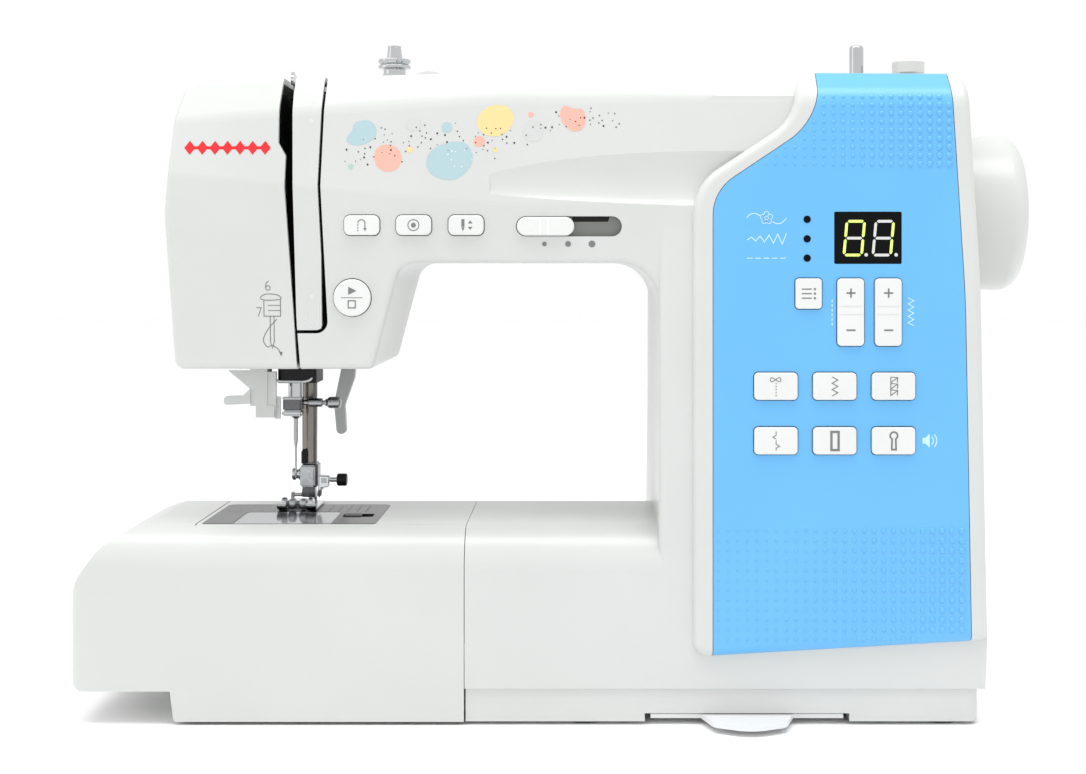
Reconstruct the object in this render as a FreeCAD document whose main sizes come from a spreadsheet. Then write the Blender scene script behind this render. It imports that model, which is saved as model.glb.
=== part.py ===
"""Computerised domestic sewing machine, built as separate parts.

Frame: +X to the operator's right, +Y away from the operator, +Z up, millimetres.
The origin lies on the table, under the middle of the machine.
"""
import FreeCAD, Part
import math
import os
import re

os.makedirs("parts", exist_ok=True)
doc = FreeCAD.newDocument("SewingMachine")
Vector = FreeCAD.Vector
Rotation = FreeCAD.Rotation

# Driving dimensions. Every word here is an alias in the sheet called Sizes.
SIZES = {
    # casing
    "front_y": -72.0,
    "rear_y": 88.0,
    "casing_z": 1.5,
    "plinth_top": 15.5,
    "wall": 2.5,
    "split_y": -24.0,
    "play": 0.35,
    # bed, free arm and accessory tray
    "bed_top": 82.8,
    "bed_front_y": -69.0,
    "bed_rear_y": 28.0,
    "bed_round": 17.0,
    "seam_x": -42.6,
    "tray_left": -210.0,
    "tray_inner": -161.5,
    "tray_underside": 14.3,
    "plinth_left": -167.0,
    "free_arm_left": -159.0,
    "free_arm_front": -55.0,
    "free_arm_base": 30.0,
    # head, arm and column
    "body_top": 276.6,
    "head_base": 150.0,
    "head_left": -169.4,
    "arm_rear_y": 40.0,
    "throat_top": 195.1,
    "throat_left": -69.8,
    "throat_right": 39.4,
    "column_right": 178.0,
    "block_left": 53.6,
    "panel_left": 62.2,
    "panel_thick": 1.6,
    # drive
    "shaft_y": -7.0,
    "shaft_z": 218.1,
    "shaft_radius": 5.0,
    "bearing_play": 0.05,
    "lower_z": 52.0,
    "wheel_radius": 35.5,
    "wheel_face": 205.8,
    "wheel_back": 178.5,
    "pulley_x": 98.0,
    "pulley_width": 10.0,
    "pulley_radius": 14.0,
    "motor_x": 142.0,
    "motor_y": 44.0,
    "motor_z": 78.0,
    "motor_wheel_radius": 28.0,
    "motor_pulley_radius": 7.0,
    # needle and presser
    "needle_x": -124.2,
    "needle_y": -7.0,
    "needle_bar_radius": 3.5,
    "presser_x": -119.6,
    "presser_y": 4.2,
    "plate_thick": 1.6,
    "plate_top": 82.9,
    "hook_z": 63.0,
    # keys and buttons
    "key_proud": 1.4,
    "key_depth": 4.0,
    "button_proud": 1.5,
    "facet_tilt": 4.7,
}

sheet = doc.addObject("Spreadsheet::Sheet", "Sizes")
for row, (alias, value) in enumerate(SIZES.items(), start=1):
    sheet.set(f"A{row}", alias)
    sheet.set(f"B{row}", str(value))
    sheet.setAlias(f"B{row}", alias)
doc.recompute()

parts = []


def size(alias):
    """A driving dimension as the sheet holds it."""
    return float(sheet.get(alias))


def formula(value):
    """Turn 'bed_top - 3' into an expression on the sheet; numbers pass through."""
    return re.sub(r"[a-z_]{3,}", lambda word: "Sizes." + word.group(), str(value))


def locate(obj, at, turn=None):
    """Place an object at three numbers or formulas, with an optional (axis, degrees) turn."""
    if turn:
        obj.Placement = FreeCAD.Placement(Vector(), Rotation(*turn))
    for axis, value in zip("xyz", at):
        obj.setExpression("Placement.Base." + axis, formula(value))
    return obj


def box(at, dims):
    """A block from its lowest corner and its three dimensions."""
    obj = doc.addObject("Part::Box", "Block")
    for prop, value in zip(("Length", "Width", "Height"), dims):
        obj.setExpression(prop, formula(value))
    return locate(obj, at)


TURNS = {"x": (Vector(0, 1, 0), 90), "y": (Vector(1, 0, 0), -90), "z": None}


def rod(at, radius, length, along="z"):
    """A cylinder that starts at a point and runs along one axis."""
    obj = doc.addObject("Part::Cylinder", "Rod")
    obj.setExpression("Radius", formula(radius))
    obj.setExpression("Height", formula(length))
    return locate(obj, at, TURNS[along])


def cone(at, radius_near, radius_far, length, along="z"):
    """A cone frustum that starts at a point and runs along one axis."""
    obj = doc.addObject("Part::Cone", "Taper")
    obj.setExpression("Radius1", formula(radius_near))
    obj.setExpression("Radius2", formula(radius_far))
    obj.setExpression("Height", formula(length))
    return locate(obj, at, TURNS[along])


def fuse(*pieces):
    """One solid from several that touch."""
    obj = doc.addObject("Part::MultiFuse", "Union")
    obj.Shapes = list(pieces)
    return obj


def cut(base, *tools):
    """The base with every tool taken away."""
    obj = doc.addObject("Part::Cut", "Difference")
    obj.Base = base
    obj.Tool = tools[0] if len(tools) == 1 else fuse(*tools)
    return obj


def rounded(base, radius, chosen):
    """Round the edges of an object that the test picks out."""
    doc.recompute()
    obj = doc.addObject("Part::Fillet", "Rounded")
    obj.Base = base
    obj.Edges = [(i, radius, radius) for i, edge in enumerate(base.Shape.Edges, 1) if chosen(edge)]
    return obj


def group(*pieces):
    """Separate solids that share a node."""
    obj = doc.addObject("Part::Compound", "Group")
    obj.Links = list(pieces)
    return obj


def keep(label, obj):
    """Register a finished sub-part under its own name."""
    obj.Label = label
    parts.append(obj)
    return obj


def feature(label, shape):
    """A finished sub-part whose shape comes straight from Part functions."""
    obj = doc.addObject("Part::Feature", label)
    obj.Shape = shape
    return keep(label, obj)


# Outlines -----------------------------------------------------------------------------------

PLANES = {
    "xz": lambda a, b, c=0: Vector(a, c, b),
    "yz": lambda a, b, c=0: Vector(c, a, b),
    "xy": lambda a, b, c=0: Vector(a, b, c),
}
NORMALS = {"xz": Vector(0, 1, 0), "yz": Vector(1, 0, 0), "xy": Vector(0, 0, 1)}


def outline(corners, plane="xy", level=0.0):
    """Lines and tangent arcs through (a, b) or (a, b, corner radius) corners."""
    at = PLANES[plane]
    points = [at(corner[0], corner[1], level) for corner in corners]
    starts, ends, arcs = [], [], []
    for i, corner in enumerate(corners):
        here = points[i]
        back = (points[i - 1] - here).normalize()
        onward = (points[(i + 1) % len(points)] - here).normalize()
        radius = corner[2] if len(corner) > 2 else 0
        if not radius:
            starts.append(here)
            ends.append(here)
            arcs.append(None)
            continue
        half = back.getAngle(onward) / 2
        reach = radius / math.tan(half)
        middle = (back + onward).normalize()
        crown = here + middle * (radius / math.sin(half) - radius)
        starts.append(here + back * reach)
        ends.append(here + onward * reach)
        arcs.append(Part.Arc(starts[-1], crown, ends[-1]))
    lines = []
    for i, arc in enumerate(arcs):
        if arc:
            lines.append(arc)
        if (ends[i] - starts[(i + 1) % len(starts)]).Length > 1e-6:
            lines.append(Part.LineSegment(ends[i], starts[(i + 1) % len(starts)]))
    return lines


def outline_face(corners, plane="xy", level=0.0, grow=0.0):
    """A flat face inside an outline, grown or shrunk all round."""
    wire = Part.Wire([line.toShape() for line in outline(corners, plane, level)])
    face = Part.Face(wire)
    return face.makeOffset2D(grow) if grow else face


def prism(corners, low, high, plane="xz", grow=0.0):
    """An outline extruded between two levels of the axis normal to its plane."""
    face = outline_face(corners, plane, low, grow)
    return face.extrude(NORMALS[plane] * (high - low))


def sketch_pad(label, corners, depth, at, face_round=0.0, along="y"):
    """A PartDesign body: a rounded outline padded away from the operator or upwards.

    Its rim on the side that shows is rounded when face_round is given.
    """
    body = doc.addObject("PartDesign::Body", label)
    sketch = body.newObject("Sketcher::SketchObject", label + "_sketch")
    role = "XZ_Plane" if along == "y" else "XY_Plane"
    origin_plane = next(f for f in body.Origin.OriginFeatures if f.Role == role)
    sketch.AttachmentSupport = [(origin_plane, "")]
    sketch.MapMode = "FlatFace"
    sketch.addGeometry(outline(corners), False)
    pad = body.newObject("PartDesign::Pad", label + "_pad")
    pad.Profile = sketch
    pad.setExpression("Length", formula(depth))
    pad.Reversed = along == "y"
    doc.recompute()
    if face_round:
        shown = 0.0 if along == "y" else pad.Shape.BoundBox.ZMax
        names = []
        for i, edge in enumerate(pad.Shape.Edges, 1):
            low, high = edge.BoundBox.YMin, edge.BoundBox.YMax
            if along != "y":
                low, high = edge.BoundBox.ZMin, edge.BoundBox.ZMax
            if abs(low - shown) < 1e-4 and abs(high - shown) < 1e-4:
                names.append(f"Edge{i}")
        fillet = body.newObject("PartDesign::Fillet", label + "_rim")
        fillet.Base = (pad, names)
        fillet.Radius = face_round
    locate(body, at)
    return body


def turned(label, corners, at, along="x"):
    """A PartDesign body revolved about X or Z from (distance along the axis, radius) corners."""
    body = doc.addObject("PartDesign::Body", label)
    sketch = body.newObject("Sketcher::SketchObject", label + "_sketch")
    origin_plane = next(f for f in body.Origin.OriginFeatures if f.Role == "XZ_Plane")
    sketch.AttachmentSupport = [(origin_plane, "")]
    sketch.MapMode = "FlatFace"
    if along == "z":
        corners = [(corner[1], corner[0]) + tuple(corner[2:]) for corner in corners]
    sketch.addGeometry(outline(corners), False)
    turn = body.newObject("PartDesign::Revolution", label + "_turn")
    turn.Profile = sketch
    turn.ReferenceAxis = (sketch, ["H_Axis" if along == "x" else "V_Axis"])
    turn.Angle = 360.0
    locate(body, at)
    return body


def rectangle(width, height, radius=0.0):
    """Corners of a rectangle about the origin."""
    a, b = width / 2, height / 2
    return [(-a, -b, radius), (a, -b, radius), (a, b, radius), (-a, b, radius)]


def moved(corners, da, db):
    """The same corners, shifted."""
    return [(corner[0] + da, corner[1] + db) + tuple(corner[2:]) for corner in corners]


# Casing -------------------------------------------------------------------------------------

front_y = size("front_y")
rear_y = size("rear_y")
wall = size("wall")
play = size("play")
split_y = size("split_y")
plinth_top = size("plinth_top")
bed_top = size("bed_top")
bed_front_y = size("bed_front_y")
bed_rear_y = size("bed_rear_y")
body_top = size("body_top")
seam_x = size("seam_x")
throat_top = size("throat_top")
throat_left = size("throat_left")
throat_right = size("throat_right")
column_right = size("column_right")
arm_rear_y = size("arm_rear_y")
panel_left = size("panel_left")
needle_x = size("needle_x")
needle_y = size("needle_y")
far = 200.0

ARM_OUTLINE = [
    (-166.3, size("head_base"), 4),
    (throat_left - 12, size("head_base"), 3),
    (throat_left, throat_top, 9),
    (throat_right - 0.6, throat_top, 17),
    (throat_right, 160),
    (100, 160),
    (100, body_top),
    (-40, body_top, 300),
    (-162.0, 273.0, 8),
    (-165.8, 258.0, 40),
    (size("head_left") - 0.5, 216.0, 60),
]
COLUMN_OUTLINE = [
    (throat_right, plinth_top - 3),
    (column_right - 1.0, plinth_top - 3),
    (column_right, 36.0, 3),
    (175.0, 187.0, 300),
    (169.6, body_top - 0.6, 8),
    (90, body_top),
    (throat_right, body_top - 20),
]
# The raised block behind the control panel, with its swan-necked left edge.
PANEL_NECK = [(106.0, 254.7, 28), (panel_left, 225.4, 19)]
BLOCK_OUTLINE = [
    (size("block_left"), 29.0, 6),
    (column_right + 5, 36.4),
    (column_right + 5, body_top + 5),
    (97.0, body_top + 5),
    (97.0, 256.5, 22),
    (size("block_left"), 228.0, 24),
]
PANEL_OUTLINE = [
    (panel_left, 28.8, 1.5),
    (170.6, 35.5, 1.5),
    (168.0, 180.0, 400),
    (162.4, 268.2, 60),
    (162.4, body_top + 6),
    (106.8, body_top + 6),
] + PANEL_NECK


def facet_section(x, low_crease, high_crease, top_y):
    """The front of the arm at one station: tucked under, upright, then leaning back."""
    points = [
        (front_y + 9, 138.0),
        (front_y + 2.2, low_crease),
        (front_y + 5, high_crease),
        (top_y, body_top + 2),
        (far, body_top + 2),
        (far, 138.0),
    ]
    return Part.makePolygon([Vector(x, y, z) for y, z in points + points[:1]])


def soften(shape, radius, chosen):
    """Fillet the edges whose bounding boxes the test picks out."""
    return shape.makeFillet(radius, [edge for edge in shape.Edges if chosen(edge.BoundBox)])


def is_crease(bounds):
    """A long crease of the arm's front facets."""
    return bounds.YLength < 0.6 and bounds.XLength > 120 and 200 < bounds.ZMin and bounds.ZMax < 270


def is_arm_rim(bounds):
    """An edge round the front of the head and arm."""
    return bounds.YMax < front_y + 13.5 and bounds.XMax < 99.5 and not is_crease(bounds)


def arm_solid(gap=0.0):
    """Head and arm: facets at the front, rounded at the back."""
    facets = Part.makeLoft(
        [
            facet_section(-175.0, 233.6, 255.0, front_y + 16),
            facet_section(-36.0, 220.3, 265.0, front_y + 13),
            facet_section(120.0, 220.3, 267.0, front_y + 13),
        ],
        True,
        True,
    )
    facets.translate(Vector(0, gap, 0))
    back = [
        (-far, 100.0),
        (arm_rear_y, 100.0),
        (arm_rear_y, body_top + 1.5, 16),
        (-far, body_top + 1.5),
    ]
    body = prism(ARM_OUTLINE, -far / 2, far / 2, "xz", -gap)
    body = body.common(facets).common(prism(back, -far, far, "yz", -gap))
    if gap:
        return body
    body = soften(body, 12.0, is_crease)
    body = soften(body, 3.0, is_arm_rim)
    return soften(body, 7.0, lambda b: b.YMin > 30.0 and b.XMax < -155.0)


def column_solid(gap=0.0):
    """The column over the base, deeper at the foot than at the top."""
    profile = [
        (bed_front_y, plinth_top - 3),
        (rear_y, plinth_top - 3),
        (rear_y, 60.0, 12),
        (60.0, 130.0, 60),
        (52.0, body_top, 18),
        (front_y + 13, body_top),
        (front_y + 5, 266.0),
        (front_y + 3, 222.0),
        (bed_front_y, 140.0),
    ]
    body = prism(COLUMN_OUTLINE, -far / 2, far / 2, "xz", -gap)
    body = body.common(prism(profile, 0.0, far, "yz", -gap))
    if gap:
        return body
    return soften(body, 3.0, lambda b: b.XMax < throat_right + 0.1 and b.YMax < front_y + 6)


def scoop(gap=0.0):
    """The shallow hollow in the arm's front that runs into the raised block."""
    stations = [
        (-32.0, 229.5, 6.5, 0.3),
        (-4.0, 231.0, 9.5, 1.7),
        (38.0, 231.5, 12.0, 3.0),
        (90.0, 231.5, 12.2, 3.4),
    ]
    lead = 1.6
    across = Rotation(Vector(0, 0, 1), Vector(0, -1, 0), Vector(1, 0, 0))
    rings = []
    for x, z, half_height, depth in stations:
        ring = Part.Wire([Part.Ellipse(Vector(), half_height, depth + lead).toShape()])
        ring.Placement = FreeCAD.Placement(Vector(x, front_y + 2.9 - lead + gap, z), across)
        rings.append(ring)
    return Part.makeLoft(rings, True, False)


def block_solid():
    """The raised block that carries the control panel."""
    profile = [
        (front_y, 20.0),
        (0.0, 20.0),
        (0.0, body_top),
        (front_y + 12, body_top, 5),
        (front_y, 266.5, 12),
    ]
    body = prism(BLOCK_OUTLINE, -far / 2, 0.0, "xz")
    within = prism(COLUMN_OUTLINE, -far / 2, 0.0, "xz")
    body = body.common(prism(profile, 0.0, far, "yz")).common(within)
    body = soften(body, 3.8, lambda b: b.YMax < front_y + 3 and b.XMax < 98.0)
    return soften(body, 3.0, lambda b: b.YMax < front_y + 11 and b.XMin > 160.0 and b.ZLength > 1.5)


BED_PROFILE = [
    (bed_front_y, plinth_top - 3),
    (bed_rear_y, plinth_top - 3),
    (bed_rear_y, bed_top, 10),
    (bed_front_y, bed_top, size("bed_round")),
]


def bed_solid(gap=0.0):
    """The fixed bed between the free arm and the column."""
    face = outline_face(BED_PROFILE, "yz", seam_x + gap, -gap)
    return face.extrude(Vector(throat_right + 20 - seam_x - 2 * gap, 0, 0))


block = block_solid()
outer = arm_solid().fuse([column_solid(), bed_solid()]).cut(scoop()).fuse(block)
inner = arm_solid(wall).fuse([column_solid(wall), bed_solid(wall)]).cut(scoop(wall))
cavity = arm_solid(wall + play).fuse([column_solid(wall + play), bed_solid(wall + play)])


def slab(x0, x1, y0, y1, z0, z1):
    """A block between two corners."""
    return Part.makeBox(x1 - x0, y1 - y0, z1 - z0, Vector(x0, y0, z0))


def tube_x(radius, x0, x1, y, z):
    """A cylinder along X."""
    return Part.makeCylinder(radius, x1 - x0, Vector(x0, y, z), Vector(1, 0, 0))


def tube_y(radius, y0, y1, x, z):
    """A cylinder along Y."""
    return Part.makeCylinder(radius, y1 - y0, Vector(x, y0, z), Vector(0, 1, 0))


def tube_z(radius, z0, z1, x, y):
    """A cylinder along Z."""
    return Part.makeCylinder(radius, z1 - z0, Vector(x, y, z0), Vector(0, 0, 1))


# Slots beside the thread path: the take-up lever's on the left, a narrow L on the right.
LEVER_SLOT = [
    (-112.0, 140.0),
    (-113.9, 168.0),
    (-116.4, 227.0),
    (-115.9, 262.0),
    (-114.4, 290.0),
    (-119.4, 290.0),
    (-121.3, 262.0),
    (-121.3, 246.0),
    (-118.2, 240.5),
    (-118.6, 227.0),
    (-115.4, 173.7),
    (-113.7, 140.0),
]
GUIDE_SLOT = [
    (-114.6, 165.3),
    (-100.7, 165.3, 5),
    (-103.3, 228.0),
    (-101.0, 290.0),
    (-102.2, 290.0),
    (-104.6, 228.0),
    (-102.1, 166.7, 3.8),
    (-114.6, 166.7),
]
slot_back = front_y + 34
lever_slot = prism(LEVER_SLOT, -far / 2, slot_back, "xz")
guide_slot = prism(GUIDE_SLOT, -far / 2, slot_back, "xz")
shell = outer.cut(inner)
shell = shell.common(slab(-far, far, -far, far, plinth_top, far * 2))

# Front controls: (centre x, centre z, width, height)
BUTTONS = {
    "reverse_button": (-85.9, 211.1),
    "lock_stitch_button": (-64.0, 211.1),
    "needle_position_button": (-41.9, 211.1),
}
BUTTON_SHAPE = (14.9, 8.4, 2.5)
START_BUTTON = (-90.3, 180.5, 7.9)
SLIDER_SLOT = (1.45, 210.65, 44.7, 8.5)
MODE_KEY = (102.15, 182.3, 11.1, 12.8)
ROCKERS = {"length_rocker": 119.8, "width_rocker": 135.6}
ROCKER_SHAPE = (11.3, 28.4, 1.8)
ROCKER_Z = 174.5
STITCH_KEYS = {
    "key_straight": (88.4, 143.4),
    "key_zigzag": (113.1, 143.4),
    "key_overlock": (137.8, 143.4),
    "key_blind_hem": (88.4, 120.5),
    "key_buttonhole": (113.1, 120.5),
    "key_keyhole": (137.8, 120.5),
}
STITCH_SHAPE = (18.3, 11.5, 1.8)
DISPLAY = (127.15, 205.75, 28.3, 21.9)
LAMPS = (101.6, (213.5, 205.3, 197.2), 1.5)
hole_depth = front_y + 12


def opening(x, z, width, height, radius, grow=play, back=hole_depth):
    """A through hole for a key, a little larger than the key."""
    return prism(moved(rectangle(width, height, radius), x, z), -far / 2, back, "xz", grow)


panel_holes = [opening(*MODE_KEY, 1.5)]
panel_holes += [opening(x, ROCKER_Z, *ROCKER_SHAPE) for x in ROCKERS.values()]
panel_holes += [opening(x, z, *STITCH_SHAPE) for x, z in STITCH_KEYS.values()]
display_hole = opening(*DISPLAY, 0.6, 0.05)
lamp_holes = [tube_y(LAMPS[2] + 0.05, -far / 2, hole_depth, LAMPS[0], z) for z in LAMPS[1]]
face_holes = [opening(x, z, *BUTTON_SHAPE, play, front_y + 16) for x, z in BUTTONS.values()]
face_holes.append(tube_y(START_BUTTON[2] + play, -far / 2, front_y + 18, START_BUTTON[0], START_BUTTON[1]))
face_holes.append(opening(*SLIDER_SLOT, 4.2, 0.0, front_y + 16))

# Control panel: the block's front skin inside the panel outline.
panel_thick = size("panel_thick")
behind = block.copy()
behind.translate(Vector(0, panel_thick, 0))
front_skin = block.cut(behind)
panel_shape = front_skin.common(prism(PANEL_OUTLINE, -far / 2, 0.0, "xz"))
panel_shape = panel_shape.cut(panel_holes + [display_hole] + lamp_holes)
feature("control_panel", panel_shape)

recess_back = block.copy()
recess_back.translate(Vector(0, panel_thick + 0.05, 0))
recess = block.cut(recess_back).common(prism(PANEL_OUTLINE, -far / 2, 0.0, "xz", 0.3))

# Top cover: a lid with the spool recess, set into the top of the casing.
LID = [(-96.0, -42.0, 8), (166.0, -42.0, 8), (166.0, 30.0, 8), (-96.0, 30.0, 8)]
lid_hole = prism(LID, body_top - 8, far * 2, "xy", play)
grip_pocket = slab(-72.0, 32.0, 16.0, arm_rear_y - 1.0, 234.0, 260.0)
grip_space = slab(-70.0, 30.0, 18.0, arm_rear_y + 10.0, 236.0, 258.0)
arm_mouth = slab(seam_x - 1.0, seam_x + 5.0, -52.0, 24.0, 20.0, 70.0)

wheel_hole = tube_x(13.0, 150.0, far, size("shaft_y"), size("shaft_z"))
head_hole = slab(-157.5, -97.5, split_y + 1.5, 27.0, 140.0, 160.0)
inlet_hole = slab(160.0, far, 24.0, 46.0, 30.0, 48.0)
switch_hole = slab(160.0, far, 24.0, 40.0, 54.0, 76.0)

front_half = slab(-far * 2, far * 2, -far, split_y, 0.0, far * 2)
rear_half = slab(-far * 2, far * 2, split_y + 0.1, far, 0.0, far * 2)
face_side = prism(LEVER_SLOT[5:] + [(-300, 140), (-300, 290)], -far, far, "xz")
strip_side = prism([(-114.0, 166.0), (-103.4, 166.0, 3), (-103.4, 290), (-116.0, 290)], -far, far, "xz")

front = shell.common(front_half)
face_cover = front.common(face_side).cut([lever_slot, lid_hole])
strip = front.common(strip_side).cut([lever_slot, guide_slot, lid_hole])
strip = strip.common(slab(-130, -90, -far, slot_back - 4, 100, far * 2))
front = front.cut([face_side, strip_side, lever_slot, guide_slot, recess, lid_hole])
front = front.cut([arm_mouth])
front = front.cut(panel_holes + [display_hole] + lamp_holes + face_holes)


def largest(shape):
    """The main solid of a shape, without crumbs."""
    return max(shape.Solids, key=lambda solid: solid.Volume)


feature("front_cover", largest(front))
feature("face_cover", largest(face_cover))
feature("thread_path_cover", largest(strip))

rear = shell.common(rear_half)
rear = rear.cut([lid_hole, wheel_hole, head_hole, inlet_hole, switch_hole, arm_mouth])
rear = rear.fuse(grip_pocket).cut(grip_space)
feature("rear_cover", largest(rear))

# Black liner behind the thread slots, open at the front and along the lever's path.
liner = slab(-122.9, -100.2, front_y + 4, slot_back + 4, 153.0, 268.0)
liner = liner.cut(slab(-121.9, -101.2, front_y, slot_back + 3, 154.0, 300.0))
liner = liner.cut(slab(-119.6, -115.6, front_y, far, 154.0, 300.0))
feature("thread_path_liner", largest(liner.common(cavity)))

# Lid, base, bed ----------------------------------------------------------------------------

SPOOL_RECESS = [(-8.0, -36.0, 8), (92.0, -36.0, 8), (92.0, 4.0, 8), (-8.0, 4.0, 8)]
lid = prism(LID, body_top - 3.0, body_top - 0.4, "xy")
well = prism(SPOOL_RECESS, body_top - 20.0, body_top - 0.4, "xy", 1.8)
lid = lid.fuse(well).cut(prism(SPOOL_RECESS, body_top - 18.0, far * 2, "xy"))
spindle_x, spindle_y = 131.8, -12.0
spindle_slot = [(-4.2, -4.2, 4), (10.6, -4.2, 4), (10.6, 4.2, 4), (-4.2, 4.2, 4)]
lid = lid.cut(prism(moved(spindle_slot, spindle_x, spindle_y), 240.0, far * 2, "xy"))
dial_x, dial_y, dial_z = -61.3, -27.0, 268.6
lid = lid.cut(slab(dial_x - 13.5, dial_x + 13.5, dial_y - 0.7, dial_y + 8.7, 240.0, far * 2))
stopper = tube_z(3.6, body_top - 0.4, 282.0, 155.4, spindle_y)
stopper = stopper.fuse(tube_z(7.3, 281.6, 286.4, 155.4, spindle_y))
boss = tube_z(5.4, body_top - 0.4, 281.0, -78.4, spindle_y)
feature("top_cover", largest(lid.fuse([stopper, boss]).cut(tube_z(1.6, 200, 300, -78.4, spindle_y))))

PLINTH = [
    (size("plinth_left") + 8, front_y + 22),
    (seam_x + 0.4, front_y + 22),
    (seam_x + 0.4, front_y + 4),
    (174.6, front_y + 4, 4),
    (176.0, rear_y - 1.5, 8),
    (34.0, rear_y - 1.5, 8),
    (20.0, bed_rear_y - 1.0, 8),
    (size("plinth_left") + 8, bed_rear_y - 1.0, 4),
]
casing_z = size("casing_z")
pan = prism(PLINTH, casing_z, plinth_top - 0.1, "xy")
pan = pan.cut(prism(PLINTH, casing_z + 2.5, far, "xy", -2.5))
arm_foot = slab(size("plinth_left") + 9, seam_x, front_y + 23, bed_rear_y - 2, 10.0, 12.5)
pan = pan.fuse(arm_foot).cut(slab(-far, seam_x - 0.4, -far, far, 12.5, far))
card_pocket = slab(33.5, 120.0, -far, 20.0, -1.0, 4.9)
card_roof = slab(30.5, 123.0, front_y + 5, 22.5, casing_z, 7.4)
pan = pan.fuse(card_roof).cut(card_pocket)
FEET = [(-140, -38), (-140, 14), (160, -56), (160, 74), (8, -56), (40, 74)]
pan = pan.cut([tube_z(2.6, 0, 10, x, y) for x, y in FEET])
SCREWS = [(-150, 2), (-60, 2), (134, -60), (150, 56), (66, 72)]
pan = pan.cut([tube_z(3.6, 0, 4, x, y) for x, y in SCREWS])
pan = pan.cut([tube_z(1.7, 0, 14, x, y) for x, y in SCREWS])
feature("base_pan", largest(pan))

feet = []
for x, y in FEET:
    feet.append(fuse(rod((x, y, 0), 9.0, "casing_z"), rod((x, y, 0), 2.5, "casing_z + 4")))
keep("rubber_feet", group(*feet))

free_left = size("free_arm_left")
free_front = size("free_arm_front")
free_base = size("free_arm_base")
FREE_ARM = [
    (free_front, free_base, 6),
    (bed_rear_y, free_base, 10),
    (bed_rear_y, bed_top, 10),
    (free_front, bed_top, 2),
]
sleeve = prism(FREE_ARM, free_left, seam_x - 0.2, "yz")
end_round = prism([(free_left, -70), (0, -70), (0, 60), (free_left, 60, 14)], 0, far, "xy")
sleeve = sleeve.common(end_round)
sleeve = sleeve.cut(prism(FREE_ARM, free_left + wall, seam_x + 5, "yz", -wall))
NEEDLE_PLATE = [(-157.0, -53.6, 1.2), (-82.0, -53.6, 1.2), (-82.0, 6.0, 4), (-157.0, 6.0, 4)]
sleeve = sleeve.cut(prism(NEEDLE_PLATE, 70.0, far, "xy", 0.1))
feature("free_arm_cover", largest(sleeve))

plate_top = size("plate_top")
plate_base = plate_top - size("plate_thick")
COVER = [(-143.5, -53.4, 1), (-101.4, -53.4, 1), (-101.4, -19.5, 3), (-143.5, -19.5, 3)]
LATCH_SLOT = [(-99.0, -33.6, 1), (-86.0, -33.6, 1), (-86.0, -25.0, 1), (-99.0, -25.0, 1)]
plate = prism(NEEDLE_PLATE, plate_base, plate_top, "xy")
plate = plate.cut(prism(COVER, 0, far, "xy", 0.25))
plate = plate.cut(prism(LATCH_SLOT, 0, far, "xy", 0.25))
plate = plate.cut(prism(moved(rectangle(8.0, 2.6, 1.2), needle_x, needle_y), 0, far, "xy"))
for dx in (-6.4, 4.2):
    plate = plate.cut(slab(needle_x + dx, needle_x + dx + 2.2, -16.5, 3.5, 0, far))
feature("needle_plate", plate)
feature("bobbin_cover", prism(COVER, plate_top - 1.4, plate_top - 0.05, "xy"))
latch = moved(rectangle(7.6, 7.8, 1.0), -94.8, -29.3)
keep("cover_latch", sketch_pad("cover_latch", latch, 3.0, (0, 0, "plate_top - 2.6"), 0.4, "z"))

teeth = []
for dx in (-6.1, 4.5):
    rail = [(-14.0, 78.0), (1.0, 78.0), (1.0, 81.6)]
    for step in range(7):
        y = 1.0 - step * 15.0 / 7
        rail += [(y - 0.9, 82.7), (y - 15.0 / 7, 81.6)]
    teeth.append(prism(rail, needle_x + dx, needle_x + dx + 1.6, "yz"))
carrier = slab(needle_x - 6.1, needle_x + 6.1, -13.5, 0.5, 76.5, 78.2)
feature("feed_dogs", carrier.fuse(teeth).cut(slab(needle_x - 4, needle_x + 4, -10.0, -3.0, 70, 80)))

# Accessory tray: wraps the front and the end of the free arm, open towards it.
tray_left = size("tray_left")
tray_inner = size("tray_inner")
tray_under = size("tray_underside")
TRAY_FRONT = [
    (tray_left, tray_under, 6),
    (size("plinth_left"), tray_under),
    (size("plinth_left") + 1.6, casing_z, 1.5),
    (seam_x - 0.3, casing_z),
    (seam_x - 0.3, bed_top + 2),
    (tray_left + 34, bed_top + 2, 60),
    (tray_left + 14, bed_top - 6, 22),
    (tray_left, bed_top - 26, 24),
]
TRAY_SIDE = [
    (bed_front_y, 0.0),
    (bed_rear_y, 0.0),
    (bed_rear_y, bed_top, 10),
    (bed_front_y, bed_top, size("bed_round")),
]
tray_plan = [(tray_left, bed_front_y, 7), (0, bed_front_y), (0, bed_rear_y), (tray_left, bed_rear_y, 16)]


def tray_solid(gap=0.0):
    """The outer form of the tray."""
    body = prism(TRAY_FRONT, -far / 2, far / 2, "xz", -gap)
    body = body.common(prism(tray_plan, -far, far, "xy", -gap))
    return body.common(prism(TRAY_SIDE, -far * 2, far, "yz", -gap))


tray = tray_solid()
arm_bay = slab(free_left - 0.6, far, free_front - 0.6, far, -10.0, far)
hollow = tray_solid(wall).cut(slab(-far * 2, far, -far, far, -10, tray_under + wall))
tray = tray.cut([arm_bay, hollow])
foot_top = bed_top - size("bed_round") - wall
tray = tray.cut(slab(size("plinth_left") + 4.5, far, bed_front_y + wall, far, -10.0, foot_top))
feature("accessory_tray", largest(tray))

# Stitch guide card, which slides out of the base.
card = slab(36.0, 117.5, front_y + 5, 16.0, 2.6, 4.4)
LIP = [(57.0, front_y + 6), (96.6, front_y + 6), (92.0, front_y - 10.0, 6), (76.8, front_y - 17.8, 14)]
LIP += [(61.6, front_y - 10.0, 6)]
feature("stitch_card", card.fuse(prism(LIP, 2.6, 4.4, "xy")))

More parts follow.
